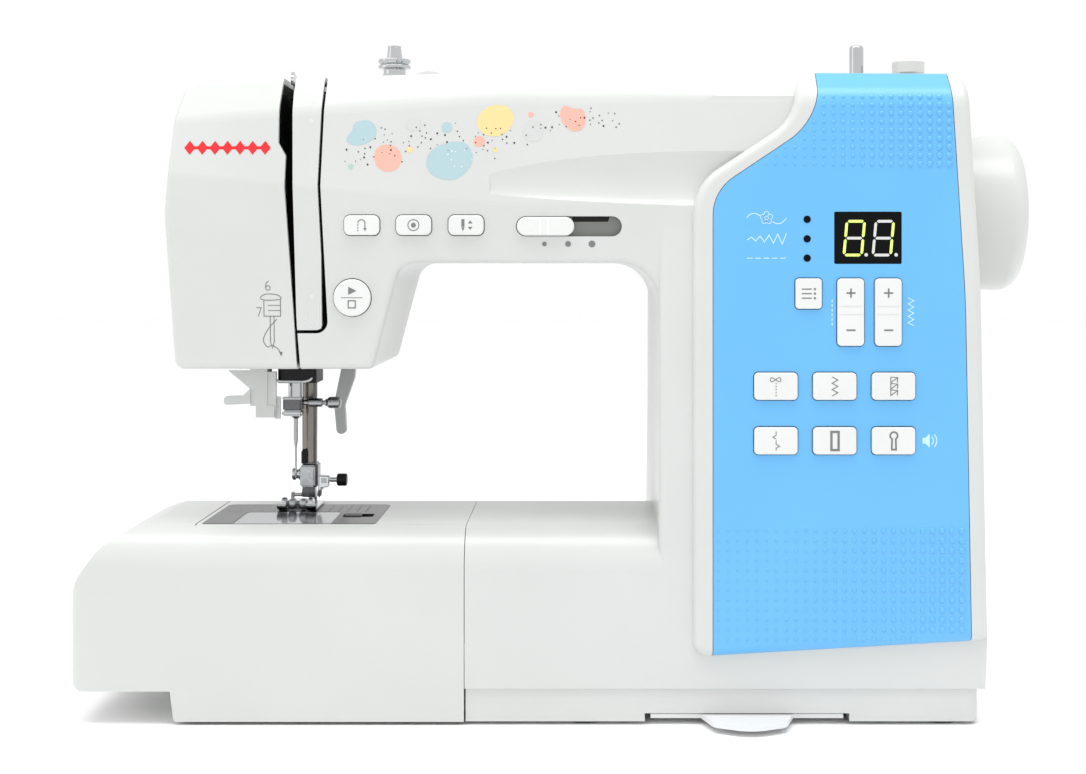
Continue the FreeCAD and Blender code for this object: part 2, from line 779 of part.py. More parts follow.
# Controls ----------------------------------------------------------------------------------

for name, (x, z) in STITCH_KEYS.items():
    at = (x, "front_y - key_proud", z)
    keep(name, sketch_pad(name, rectangle(*STITCH_SHAPE), "key_depth", at, 0.7))

mode_at = (MODE_KEY[0], "front_y - key_proud", MODE_KEY[1])
keep("mode_key", sketch_pad("mode_key", rectangle(*MODE_KEY[2:], 1.5), "key_depth", mode_at, 0.7))

for name, x in ROCKERS.items():
    at = (x, "front_y - key_proud", ROCKER_Z)
    keep(name, sketch_pad(name, rectangle(*ROCKER_SHAPE), "key_depth", at, 0.7))

tilt = size("facet_tilt")


def facet_y(z):
    """How far back the lower front facet lies at a height."""
    return front_y + 2.2 + (220.3 - z) * math.tan(math.radians(tilt))


for name, (x, z) in BUTTONS.items():
    button = sketch_pad(name, rectangle(*BUTTON_SHAPE), "key_depth", (0, 0, 0), 0.8)
    locate(button, (x, f"{facet_y(z)} - button_proud", z))
    keep(name, button)

start_x, start_z, start_radius = START_BUTTON
start = rod((start_x, f"{facet_y(start_z)} - button_proud", start_z), start_radius, 4.5, "y")
keep("start_stop_button", rounded(start, 0.9, lambda edge: edge.BoundBox.YMax < facet_y(start_z) - 1))

slider = sketch_pad("speed_slider", rectangle(24.2, 7.9, 3.9), 6.0, (0, 0, 0), 0.8)
keep("speed_slider", locate(slider, (-8.4, f"{facet_y(SLIDER_SLOT[1])} - 1.8", SLIDER_SLOT[1])))

window_at = (DISPLAY[0], "front_y + 0.1", DISPLAY[1])
window = sketch_pad("window_plate", rectangle(*DISPLAY[2:], 0.6), 3.0, window_at)
lamps = [rod((LAMPS[0], "front_y - 0.2", z), LAMPS[2], 3.0, "y") for z in LAMPS[1]]
keep("display_window", group(window, *lamps))

dial_body = turned("dial_wheel", [(0, 0), (0, 13.0, 0.8), (8.0, 13.0, 0.8), (8.0, 0)], (0, 0, 0))
locate(dial_body, (dial_x, dial_y, dial_z), (Vector(0, 0, 1), 90))
dial_axle = rod((dial_x, dial_y - 3.0, dial_z), 2.0, 14.0, "y")
keep("tension_dial", fuse(dial_body, dial_axle))

# Drive -------------------------------------------------------------------------------------

shaft_y = size("shaft_y")
shaft_z = size("shaft_z")
shaft_r = size("shaft_radius")
bore_r = shaft_r + size("bearing_play")
lower_z = size("lower_z")
pulley_x = size("pulley_x")
pulley_w = size("pulley_width")
pulley_r = size("pulley_radius")
motor_x, motor_y, motor_z = size("motor_x"), size("motor_y"), size("motor_z")

wheel_r = size("wheel_radius")
wheel_back = size("wheel_back")
wheel_face = size("wheel_face")
WHEEL = [
    (172.0, 5.0),
    (172.0, 12.0),
    (wheel_back + 3, 12.0),
    (wheel_back + 3, wheel_r - 5.0),
    (wheel_back - 0.4, wheel_r - 5.0),
    (wheel_back - 0.4, wheel_r - 0.6, 1.5),
    (wheel_face - 3.6, wheel_r, 8),
    (wheel_face, wheel_r - 12.0, 60),
    (wheel_face, 0.0),
    (wheel_face - 6, 0.0),
    (wheel_face - 6, 5.0),
]
wheel_at = (0, "shaft_y", "shaft_z")
keep("handwheel", turned("handwheel", WHEEL, wheel_at))

crank = rod((-116.0, "shaft_y", "shaft_z"), 17.0, 6.0, "x")
crank_pin = rod((-116.5, "shaft_y", "shaft_z + 12"), 2.4, 2.0, "x")
shaft = rod((-111.0, "shaft_y", "shaft_z"), "shaft_radius", 310.7, "x")
upper_pulley = rod(("pulley_x", "shaft_y", "shaft_z"), "pulley_radius", "pulley_width", "x")
drive_disc = rod(("motor_x", "shaft_y", "shaft_z"), "motor_wheel_radius", 8.0, "x")
keep("main_shaft", fuse(crank, crank_pin, shaft, upper_pulley, drive_disc))

lower = rod((-100.0, "shaft_y", "lower_z"), 4.0, 212.0, "x")
lower_pulley = rod(("pulley_x", "shaft_y", "lower_z"), "pulley_radius", "pulley_width", "x")
hook_gear = cone((-106.0, "shaft_y", "lower_z"), 6.0, 11.0, 6.0, "x")
keep("lower_shaft", fuse(lower, lower_pulley, hook_gear))

hook_x, hook_y, hook_z = -122.4, -28.0, size("hook_z")
race = tube_z(19.5, hook_z, hook_z + 9.0, hook_x, hook_y)
race = race.cut(tube_z(17.6, hook_z + 2.0, far, hook_x, hook_y))
feature("rotary_hook", race.fuse(tube_z(3.0, 46.0, hook_z + 1, hook_x, hook_y)))
case = tube_z(17.2, hook_z + 2.3, hook_z + 12.0, hook_x, hook_y)
case = case.cut(tube_z(11.6, hook_z + 3.2, far, hook_x, hook_y))
feature("bobbin_case", case)
BOBBIN = [(0, 1.8), (0, 10.2), (1.2, 10.2), (1.2, 4.0), (8.0, 4.0), (8.0, 10.2), (9.2, 10.2), (9.2, 1.8)]
keep("bobbin", turned("bobbin", BOBBIN, (hook_x, hook_y, "hook_z + 3.5"), "z"))

motor_case = rod(("motor_x - 62", "motor_y", "motor_z"), 22.0, 54.0, "x")
motor_boss = rod(("motor_x - 9", "motor_y", "motor_z"), 8.0, 3.0, "x")
motor_lug = box(("motor_x - 50", "motor_y - 15", 30), (30, 30, "motor_z - 40"))
motor_bore = rod(("motor_x - 30", "motor_y", "motor_z"), 3.05, 40.0, "x")
keep("motor", cut(fuse(motor_case, motor_boss, motor_lug), motor_bore))
motor_axle = rod(("motor_x - 25", "motor_y", "motor_z"), 3.0, 36.0, "x")
motor_wheel = rod(("motor_x", "motor_y", "motor_z"), "motor_pulley_radius", 8.0, "x")
keep("motor_pulley", fuse(motor_axle, motor_wheel))


def belt(low, low_r, high, high_r, x, width, gauge=1.6):
    """A belt round two pulleys whose axes run along X."""
    def loop(extra):
        gap = Vector(0, high[0] - low[0], high[1] - low[1])
        swing = math.asin((high_r - low_r) / gap.Length)
        heading = math.atan2(gap.z, gap.y)
        def on(centre, radius, angle):
            return Vector(x, centre[0] + radius * math.cos(angle), centre[1] + radius * math.sin(angle))
        side = math.pi / 2 + swing
        low_arc = Part.Arc(
            on(low, low_r + extra, heading + side),
            on(low, low_r + extra, heading + math.pi),
            on(low, low_r + extra, heading - side),
        )
        high_arc = Part.Arc(
            on(high, high_r + extra, heading - side),
            on(high, high_r + extra, heading),
            on(high, high_r + extra, heading + side),
        )
        lines = [
            low_arc,
            Part.LineSegment(low_arc.EndPoint, high_arc.StartPoint),
            high_arc,
            Part.LineSegment(high_arc.EndPoint, low_arc.StartPoint),
        ]
        return Part.Face(Part.Wire([line.toShape() for line in lines]))
    play_r = 0.12
    return loop(gauge).cut(loop(play_r)).extrude(Vector(width, 0, 0))


timing = belt((shaft_y, lower_z), pulley_r, (shaft_y, shaft_z), pulley_r, pulley_x + 1, pulley_w - 2)
motor_belt = belt(
    (motor_y, motor_z), size("motor_pulley_radius"),
    (shaft_y, shaft_z), size("motor_wheel_radius"),
    motor_x + 1, 6.0,
)
feature("drive_belts", Part.makeCompound([timing, motor_belt]))

# Frame casting: a beam in the arm, a post in the column, a beam in the bed and the head block.
post = slab(60.0, 94.0, -22.0, 8.0, 20.0, 232.0)
arm_beam = slab(-99.0, 92.0, -22.0, 8.0, 199.5, 207.0)
bed_beam = slab(-98.0, 62.0, -22.0, 8.0, 34.0, 42.5)
bearings = [slab(x, x + 8.0, -22.0, 8.0, 200.0, top) for x, top in ((-99.0, 232.0), (60.0, 244.0))]
outer_bearing = slab(118.0, 126.0, -22.0, 8.0, 206.0, 244.0)
outer_bearing = outer_bearing.fuse(slab(60.0, 126.0, -22.0, 8.0, 238.0, 244.0))
head_block = slab(-133.0, -99.0, -20.0, 12.0, 156.0, 170.0)
head_block = head_block.fuse(slab(-108.0, -99.0, -20.0, 12.0, 156.0, 207.0))
hook_seat = slab(-98.0, -90.0, -22.0, 8.0, 34.0, 60.0)
frame_feet = slab(56.0, 100.0, -30.0, 16.0, 8.0, 22.0)
presser_x, presser_y = size("presser_x"), size("presser_y")
needle_r = size("needle_bar_radius")
casting = post.fuse([arm_beam, bed_beam, outer_bearing, head_block, hook_seat, frame_feet] + bearings)
casting = casting.cut(
    [
        tube_x(bore_r, -120.0, far, shaft_y, shaft_z),
        tube_x(4.05, -120.0, 61.0, shaft_y, lower_z),
        tube_x(6.0, 60.0, far, shaft_y, lower_z),
        tube_z(needle_r + 0.05, 150.0, 180.0, needle_x, needle_y),
        tube_z(needle_r + 0.05, 150.0, 180.0, presser_x, presser_y),
    ]
)
feature("cast_frame", largest(casting))

# Needle bar and what hangs on it.
bar_top = 249.0
keep("needle_bar", rod(("needle_x", "needle_y", 129.6), "needle_bar_radius", bar_top - 129.6))
clamp_body = box(("needle_x - 5.2", "needle_y - 3.9", 127.2), (9.0, 7.0, 6.9))
clamp_cup = rod(("needle_x", "needle_y", 124.6), 3.4, 2.8)
clamp_guide = box(("needle_x - 2.2", "needle_y - 4.4", 125.6), (4.4, 2.0, 2.2))
clamp_bore = rod(("needle_x", "needle_y", 129.5), "needle_bar_radius + 0.02", 10)
needle_seat = rod(("needle_x", "needle_y", 110), 1.05, 19.5)
screw_seat = rod(("needle_x", "needle_y", 131.3), 1.3, 12, "x")
keep("needle_clamp", cut(fuse(clamp_body, clamp_cup, clamp_guide), clamp_bore, needle_seat, screw_seat))
clamp_screw = fuse(
    rod(("needle_x + 3.7", "needle_y", 131.3), 1.2, 10.0, "x"),
    rod(("needle_x + 4.4", "needle_y", 131.3), 2.4, 2.0, "x"),
    rod(("needle_x + 13.6", "needle_y", 131.3), 2.6, 7.2, "x"),
)
clamp_screw = rounded(clamp_screw, 1.5, lambda edge: edge.BoundBox.XMin > needle_x + 20)
keep("needle_clamp_screw", clamp_screw)
needle_parts = fuse(
    rod(("needle_x", "needle_y", 114.0), 1.0, 15.0),
    cone(("needle_x", "needle_y", 111.0), 0.5, 1.0, 3.0),
    rod(("needle_x", "needle_y", 99.0), 0.5, 12.2),
    cone(("needle_x", "needle_y", 95.6), 0.08, 0.5, 3.4),
)
needle_eye = box(("needle_x - 0.2", "needle_y - 1", 100.6), (0.4, 2, 1.4))
keep("needle", cut(needle_parts, needle_eye))

bush = [(-131.6, -13.0, 2), (-114.0, -13.0, 2), (-114.0, 11.0, 3), (-131.6, 11.0, 3)]
guide = prism(bush, 140.6, 155.9, "xy")
guide = guide.cut([tube_z(needle_r + 0.06, 100, far, needle_x, needle_y)])
guide = guide.cut([tube_z(needle_r + 0.06, 100, far, presser_x, presser_y)])
feature("needle_bar_guide", guide)

# Take-up lever: a flat link with a hooked eye at its front end.
lever_pivot = (-2.0, 238.0)
LEVER = [
    (2.4, 234.4, 3),
    (3.0, 241.5, 3),
    (-49.0, 276.4, 1),
    (-54.5, 277.6, 1.5),
    (-57.6, 274.6, 1.6),
    (-55.2, 271.4, 1),
    (-52.6, 273.2, 0.6),
    (-50.0, 271.8, 1),
]
lever = prism(LEVER, -118.0, -116.9, "yz")
feature("take_up_lever", lever.cut(tube_x(1.5, -130, -100, *lever_pivot)))

# Presser bar, holder, foot and lifter.
keep("presser_bar", rod(("presser_x", "presser_y", 100.4), "needle_bar_radius", 95.0))
holder_y = needle_y + 3.6
holder = fuse(
    box(("presser_x - 3.4", holder_y, 92.6), (6.8, "presser_y + 3.4 - (%s)" % holder_y, 9.4)),
    box(("presser_x - 2.2", "presser_y - 1", 86.9), (4.4, 4.4, 6.7)),
    box(("presser_x + 3.2", "presser_y - 1", 90.8), (8.6, 3.2, 5.2)),
)
socket = rod(("presser_x", "presser_y", 100.3), 10.0, 10.0)
holder_bore = rod(("presser_x - 8", "presser_y - 1.2", 97.4), 1.5, 10.0, "x")
foot_pivot_y, foot_pivot_z = 4.6, plate_top + 4.75
claw = rod((-130, foot_pivot_y, foot_pivot_z), 1.0, 20, "x")
keep("foot_holder", cut(holder, socket, holder_bore, claw))
foot_screw = fuse(
    rod(("presser_x - 7.6", "presser_y - 1.2", 97.4), 2.9, 3.6, "x"),
    rod(("presser_x - 4.4", "presser_y - 1.2", 97.4), 1.4, 6.0, "x"),
)
keep("foot_screw", foot_screw)

sole_z = plate_top + 0.15
SOLE = [(-123.9 - 7.6, -19.0, 1.5), (-127.6, -19.0, 1.2), (-127.6, -8.0, 0.8), (-120.8, -8.0, 0.8)]
SOLE += [(-120.8, -19.0, 1.2), (-116.4, -19.0, 1.5), (-115.6, 10.5, 1.5), (-132.2, 10.5, 1.5)]
foot = prism(SOLE, sole_z, sole_z + 1.8, "xy")
heel_relief = prism([(2.0, sole_z - 0.05), (12.0, sole_z - 1), (12.0, sole_z + 1.7)], -150, -100, "yz")
foot = foot.cut([heel_relief, tube_z(1.1, 70, 90, needle_x, needle_y)])
ears = [slab(x, x + 1.6, 1.2, 7.4, sole_z + 1.2, sole_z + 6.6) for x in (-126.6, -114.2 - 1.6)]
pivot_pin = tube_x(0.9, -126.6, -114.2, foot_pivot_y, foot_pivot_z)
feature("presser_foot", foot.fuse(ears + [pivot_pin]))

lifter_y = 17.0
LIFTER = [
    (-105.4, 152.0, 2),
    (-99.6, 152.0, 2),
    (-100.6, 141.0, 4),
    (-105.2, 128.0, 4),
    (-104.4, 114.6, 2),
    (-108.9, 114.6, 2),
    (-110.2, 129.0, 4),
]
lifter = prism(LIFTER, lifter_y, lifter_y + 4.5, "xz")
feature("presser_lifter", lifter.cut(tube_y(1.5, 0, 60, -102.5, 146.5)))

# Needle threader: plate, finger tab and a swinging wire hook.
threader = slab(-143.2, -135.4, -17.0, -15.4, 130.5, 152.0)
FINGER_TAB = [
    (-155.0, 131.0, 1.6),
    (-143.0, 131.6),
    (-143.0, 138.5),
    (-146.5, 135.2, 1.5),
    (-155.0, 135.0, 1.6),
]
threader = threader.fuse(prism(FINGER_TAB, -17.6, -15.0, "xz"))
threader = threader.fuse(slab(-140.7, -132.2, -17.0, -12.0, 125.3, 130.8))
threader = threader.fuse(slab(-135.4, -131.6, -16.6, -14.0, 128.5, 146.0))
threader = threader.fuse(slab(-132.4, -129.8, -15.0, -13.6, 124.6, 134.6))
threader = threader.fuse(prism([(-153.0, 146.6), (-140.0, 146.6), (-142.6, 137.8)], -17.0, -15.6, "xz"))
feature("needle_threader", threader)

# Thread hardware on top.
GUIDE = [(0, 1.7), (0, 5.0), (2.2, 5.0, 0.8), (2.6, 7.3, 0.2), (3.8, 7.3, 0.2), (4.2, 6.4)]
GUIDE += [(5.6, 7.4, 0.2), (6.6, 7.2, 0.2), (7.0, 3.6), (10.2, 3.2, 1), (12.4, 3.0, 1), (12.4, 1.7)]
disc = turned("guide_discs", GUIDE, (-78.4, spindle_y, 281.05), "z")
stud = rod((-78.4, spindle_y, 274.0), 1.5, 19.6)
keep("winder_thread_guide", fuse(disc, stud, rod((-78.4, spindle_y, 292.8), 3.0, 1.0)))
SPINDLE = [(0, 0), (0, 5.6), (2.6, 5.6, 0.6), (2.6, 3.2), (24.6, 3.2, 1.4), (24.6, 0)]
spindle_shaft = rod((spindle_x, spindle_y, 250.0), 2.6, 21.0)
spindle_post = turned("spindle_post", SPINDLE, (spindle_x, spindle_y, 269.5), "z")
keep("winder_spindle", fuse(spindle_post, spindle_shaft))
pin_z = body_top - 9.0
SPOOL_PIN = [(0, 0), (0, 5.0), (4.0, 5.0), (4.0, 2.6), (88.0, 2.6, 1.2), (88.0, 0)]
keep("spool_pin", turned("spool_pin", SPOOL_PIN, (-7.9, -16.0, pin_z)))

# Power inlet and switch in the column's right wall.
wall_x = 177.2
inlet = slab(wall_x - 18, wall_x, 24.3, 45.7, 30.3, 47.7)
inlet = inlet.cut(slab(wall_x - 12, far, 26.5, 43.5, 32.5, 45.5))
pins = [slab(wall_x - 14, wall_x - 4, y, y + 1.6, 37.0, 41.0) for y in (30.0, 38.4)]
feature("power_inlet", inlet.fuse(pins))
ROCKER_FACE = [(24.8, 54.9, 1), (39.2, 54.9, 1), (39.2, 75.1, 1), (24.8, 75.1, 1)]
rocker = prism(ROCKER_FACE, wall_x - 10, wall_x + 1.2, "yz")
feature("power_switch", rocker)

screws = []
for x, y in SCREWS:
    head = rod((x, y, 2.0), 3.4, 2.0)
    screws.append(fuse(head, rod((x, y, 3.9), 1.5, 8.0)))
keep("cover_screws", group(*screws))

# Checks and export ---------------------------------------------------------------------------

doc.recompute()
for obj in doc.Objects:
    if "Invalid" in obj.State or "Error" in obj.State:
        raise SystemExit(f"{obj.Label}: {obj.State}")
for obj in parts:
    if obj.Shape.isNull() or not obj.Shape.isValid():
        raise SystemExit(f"{obj.Label}: bad shape")
for obj in parts:
    obj.Shape.exportStep(f"parts/{obj.Label}.step")
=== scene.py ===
"""Looks for the sewing machine: plastics, metals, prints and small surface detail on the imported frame.

Lengths are in millimetres unless a comment says otherwise. X runs to the right along the machine,
Y to the back and Z up. A print is drawn at (x, v) points, where v is Z on a front face and Y on a
top face.
"""

import math
import random

import bmesh
import bpy
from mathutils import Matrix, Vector
from mathutils.bvhtree import BVHTree


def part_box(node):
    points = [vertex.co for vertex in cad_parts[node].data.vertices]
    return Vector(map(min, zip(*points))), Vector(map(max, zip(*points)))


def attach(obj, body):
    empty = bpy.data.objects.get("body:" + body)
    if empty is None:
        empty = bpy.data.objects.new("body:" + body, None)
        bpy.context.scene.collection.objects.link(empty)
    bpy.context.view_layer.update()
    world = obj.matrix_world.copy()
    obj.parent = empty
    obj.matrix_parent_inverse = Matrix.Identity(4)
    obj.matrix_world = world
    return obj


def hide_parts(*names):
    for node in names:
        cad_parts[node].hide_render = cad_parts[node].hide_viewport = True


MM = 0.001
PRINT = 0.00007  # an ink's height over its surface, in metres
PLASTIC_IOR = 1.49

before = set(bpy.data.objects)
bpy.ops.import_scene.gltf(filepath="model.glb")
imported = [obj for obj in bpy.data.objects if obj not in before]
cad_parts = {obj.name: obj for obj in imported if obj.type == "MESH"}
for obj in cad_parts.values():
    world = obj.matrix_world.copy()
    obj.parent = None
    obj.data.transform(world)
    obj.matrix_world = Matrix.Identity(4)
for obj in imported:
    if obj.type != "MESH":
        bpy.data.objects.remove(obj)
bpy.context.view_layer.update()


# Materials ---------------------------------------------------------------------------------

def shader(name, **values):
    """A node material with its principled shader's sockets set."""
    material = bpy.data.materials.new(name)
    material.use_nodes = True
    principled = material.node_tree.nodes["Principled BSDF"]
    for socket, value in values.items():
        principled.inputs[socket.replace("_", " ")].default_value = value
    return material, material.node_tree, principled


def noise(tree, scale, detail=3.0, stretch=(1, 1, 1)):
    """Noise in the object's own space, scale in features per metre."""
    place = tree.nodes.new("ShaderNodeTexCoord")
    mapping = tree.nodes.new("ShaderNodeMapping")
    mapping.inputs["Scale"].default_value = stretch
    grain = tree.nodes.new("ShaderNodeTexNoise")
    grain.inputs["Scale"].default_value = scale
    grain.inputs["Detail"].default_value = detail
    tree.links.new(place.outputs["Object"], mapping.inputs["Vector"])
    tree.links.new(mapping.outputs["Vector"], grain.inputs["Vector"])
    return grain.outputs["Fac"]


def spread(tree, source, low, high):
    """A value that follows the noise between two limits."""
    node = tree.nodes.new("ShaderNodeMapRange")
    node.inputs["From Min"].default_value = 0.3
    node.inputs["From Max"].default_value = 0.7
    node.inputs["To Min"].default_value = low
    node.inputs["To Max"].default_value = high
    tree.links.new(source, node.inputs["Value"])
    return node.outputs["Result"]


def tint(tree, source, first, second):
    """A colour that drifts between two shades."""
    ramp = tree.nodes.new("ShaderNodeValToRGB")
    ramp.color_ramp.elements[0].position = 0.35
    ramp.color_ramp.elements[0].color = (*first, 1)
    ramp.color_ramp.elements[1].position = 0.65
    ramp.color_ramp.elements[1].color = (*second, 1)
    tree.links.new(source, ramp.inputs["Fac"])
    return ramp.outputs["Color"]


def relief(tree, source, height):
    """A bump normal from a noise, height in metres."""
    bump = tree.nodes.new("ShaderNodeBump")
    bump.inputs["Strength"].default_value = 1.0
    bump.inputs["Distance"].default_value = height
    tree.links.new(source, bump.inputs["Height"])
    return bump.outputs["Normal"]


def shade(colour, factor):
    """A slightly darker or lighter shade of a colour."""
    return tuple(min(1.0, c * factor) for c in colour)


def dress(tree, principled, colour, drift, pattern, roughness, fine, limits):
    """Colour drifting over one noise and roughness varying over another."""
    drifting = tint(tree, pattern, shade(colour, drift), colour)
    tree.links.new(drifting, principled.inputs["Base Color"])
    rough = spread(tree, fine, roughness * limits[0], roughness * limits[1])
    tree.links.new(rough, principled.inputs["Roughness"])


def plastic(name, colour, roughness, grain=2600.0, depth=0.000012, coat=0.0, drift=0.97, shine=0.5):
    """Moulded plastic with a fine spark-eroded grain and a slight sheen variation."""
    material, tree, principled = shader(
        name, Coat_Weight=coat, Coat_Roughness=0.12, Specular_IOR_Level=shine, IOR=PLASTIC_IOR
    )
    broad = noise(tree, 18.0)
    fine = noise(tree, grain, 2.0)
    dress(tree, principled, colour, drift, broad, roughness, fine, (0.88, 1.12))
    tree.links.new(relief(tree, fine, depth), principled.inputs["Normal"])
    return material


def metal(name, colour, roughness, brush=(1, 1, 1), grain=900.0, depth=0.000006, drift=0.9):
    """Plated or ground metal with machining marks."""
    material, tree, principled = shader(name, Metallic=1.0)
    marks = noise(tree, grain, 4.0, brush)
    broad = noise(tree, 60.0)
    dress(tree, principled, colour, drift, broad, roughness, marks, (0.7, 1.35))
    tree.links.new(relief(tree, marks, depth), principled.inputs["Normal"])
    return material


def clear(name, colour, roughness):
    """Transparent moulded plastic with faint flow marks."""
    material, tree, principled = shader(name, Transmission_Weight=0.92, IOR=PLASTIC_IOR)
    flow = noise(tree, 120.0)
    dress(tree, principled, colour, 0.97, flow, roughness, flow, (0.7, 1.4))
    return material


def ink(name, colour, roughness=0.45):
    """Printed ink with a slightly uneven screen."""
    material, tree, principled = shader(name)
    screen = noise(tree, 3200.0, 2.0)
    dress(tree, principled, colour, 0.95, screen, roughness, screen, (0.9, 1.15))
    return material


def glow(name, colour, strength):
    """A lit display segment, a little uneven across its width."""
    material, tree, principled = shader(name, Roughness=0.35, Emission_Strength=strength)
    cells = noise(tree, 900.0, 2.0)
    lit = tint(tree, cells, shade(colour, 0.82), colour)
    tree.links.new(lit, principled.inputs["Base Color"])
    tree.links.new(lit, principled.inputs["Emission Color"])
    return material


WHITE = (0.575, 0.587, 0.574)
WHITE_CASING = plastic("casing_white", WHITE, 0.34, coat=0.12)
WHITE_CONTROL = plastic("control_white", (0.69, 0.7, 0.69), 0.3, grain=3400.0, depth=0.000008, coat=0.1)
WHITE_THREADER = plastic("threader_white", (0.6, 0.61, 0.6), 0.38)
BLUE = plastic("panel_blue", (0.117, 0.42, 0.77), 0.36, grain=2200.0, coat=0.1)
GREY_LIFTER = plastic("lifter_grey", (0.46, 0.47, 0.47), 0.4)
GREY_CARD = plastic("card_grey", (0.72, 0.73, 0.73), 0.42)
BLACK = plastic(
    "black_plastic", (0.008, 0.008, 0.009), 0.4, grain=1800.0, depth=0.00001, drift=0.7, shine=0.22
)
DISPLAY = plastic(
    "display_black", (0.003, 0.0032, 0.004), 0.12, grain=400.0, depth=0.000002, drift=0.8, shine=0.1
)
CLEAR = clear("clear_cover", (0.86, 0.9, 0.93), 0.08)
BOBBIN = clear("bobbin_clear", (0.88, 0.9, 0.92), 0.12)
STEEL = metal("steel", (0.38, 0.38, 0.39), 0.26, brush=(1, 14, 1))
CHROME = metal("chrome", (0.56, 0.57, 0.58), 0.1, grain=300.0, depth=0.000002)
CASTING = metal("casting", (0.42, 0.43, 0.44), 0.55, grain=1400.0, depth=0.00004)
MOTOR = metal("motor_dark", (0.12, 0.12, 0.13), 0.45)
RUBBER = plastic("rubber", (0.03, 0.03, 0.032), 0.75, grain=1500.0, depth=0.00003, drift=0.8)
# Painted shade: the speed slider's recess floor is a dark grey that stands in for the shade inside the
# recess.
RECESS_SHADE = plastic("recess_painted_shade", (0.2, 0.205, 0.19), 0.45)
BRONZE = metal("bar_bronze", (0.2, 0.185, 0.17), 0.22, brush=(1, 1, 30), drift=0.97)
DARK_STEEL = metal("dark_steel", (0.14, 0.14, 0.145), 0.24, brush=(1, 10, 1))
PLATE = metal("plate_steel", (0.09, 0.092, 0.094), 0.3, brush=(1, 24, 1), drift=0.95)
PEARL = metal("pearl_grey", (0.5, 0.52, 0.53), 0.36)

FINISHES = {
    "casing_white": WHITE_CASING,
    "panel_blue": BLUE,
    "control_white": WHITE_CONTROL,
    "threader_white": WHITE_THREADER,
    "lifter_grey": GREY_LIFTER,
    "card_grey": GREY_CARD,
    "black_plastic": BLACK,
    "display_black": DISPLAY,
    "clear_cover": CLEAR,
    "bobbin_clear": BOBBIN,
    "steel": STEEL,
    "chrome": CHROME,
    "casting": CASTING,
    "motor_dark": MOTOR,
    "rubber": RUBBER,
}

OWN_FINISHES = {
    "presser_bar": BRONZE,
    "needle_clamp": DARK_STEEL,
    "needle_clamp_screw": DARK_STEEL,
    "foot_holder": PEARL,
    "needle_plate": PLATE,
}


def node_finishes():
    """Each CAD node gets its own finish, or else the finish of its material slot."""
    for name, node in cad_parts.items():
        for entry in node.material_slots:
            slot_name = entry.material.name.split(".")[0]
            entry.material = OWN_FINISHES.get(name, FINISHES[slot_name])


node_finishes()


# Surfaces ------------------------------------------------------------------------------------

FRONT = Vector((0, 1, 0))
DOWN = Vector((0, 0, -1))
BEFORE = -0.3  # a Y in front of the machine, in metres
ABOVE = 0.4  # a Z over the machine, in metres
CELL = 1.5  # the longest step of a print along its surface
MITRE = 0.45  # limits how far a sharp corner of a line sticks out


def surface_of(*nodes):
    """The CAD nodes as one surface to lay detail on."""
    verts, faces = [], []
    for node in nodes:
        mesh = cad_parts[node].data
        base = len(verts)
        verts += [v.co.copy() for v in mesh.vertices]
        faces += [[base + i for i in face.vertices] for face in mesh.polygons]
    return BVHTree.FromPolygons(verts, faces)


def laid(surface, x, v, looking=FRONT, lift=PRINT):
    """The point of a surface met at (x, v), raised a little off it; lift is in metres."""
    if looking is FRONT:
        start = Vector((x * MM, BEFORE, v * MM))
    else:
        start = Vector((x * MM, v * MM, ABOVE))
    hit, normal, _, _ = surface.ray_cast(start, looking)
    if hit is None:
        return None
    if normal.dot(looking) > 0:
        normal = -normal
    return hit + normal * lift


def added(name, mesh, material, body):
    """A mesh as a piece that rides on a CAD body."""
    obj = bpy.data.objects.new(name, mesh)
    bpy.context.scene.collection.objects.link(obj)
    mesh.materials.append(material)
    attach(obj, body)
    return obj


def piece(name, verts, faces, material, body, smooth=True):
    """A piece from its points in metres and its faces."""
    mesh = bpy.data.meshes.new(name)
    mesh.from_pydata([tuple(v) for v in verts], [], faces)
    mesh.validate()
    mesh.update()
    for face in mesh.polygons:
        face.use_smooth = smooth
    return added(name, mesh, material, body)


def turn(segments, start=0.0, stop=2 * math.pi):
    """Angles round an arc, the end left out on a full turn."""
    span = stop - start
    full = abs(abs(span) - 2 * math.pi) < 1e-6
    return [start + span * i / (segments if full else segments - 1) for i in range(segments)]


def circle(x, v, radius, segments):
    """Points round a full circle."""
    return [(x + radius * math.cos(t), v + radius * math.sin(t)) for t in turn(segments)]


def arc(x, v, radius, start, stop, segments=14):
    """Points along an arc, angles in degrees."""
    return [
        (x + radius * math.cos(t), v + radius * math.sin(t))
        for t in turn(segments, math.radians(start), math.radians(stop))
    ]


def moved(points, x, v):
    """A drawing's points moved to its place."""
    return [(x + u, v + w) for u, w in points]


def smooth(points, closed=True, count=8):
    """A rounded line through a few points (Catmull-Rom)."""
    path = [Vector(p) for p in points]
    size = len(path)
    out = []
    for i in range(size if closed else size - 1):
        if closed:
            p0, p1, p2, p3 = (path[(i + k - 1) % size] for k in range(4))
        else:
            p0, p1, p2, p3 = (path[min(max(i + k - 1, 0), size - 1)] for k in range(4))
        for k in range(count):
            t = k / count
            out.append(
                0.5 * (2 * p1 + (p2 - p0) * t + (2 * p0 - 5 * p1 + 4 * p2 - p3) * t * t
                       + (3 * p1 - p0 - 3 * p2 + p3) * t * t * t)
            )
    if not closed:
        out.append(path[-1])
    return [tuple(p) for p in out]


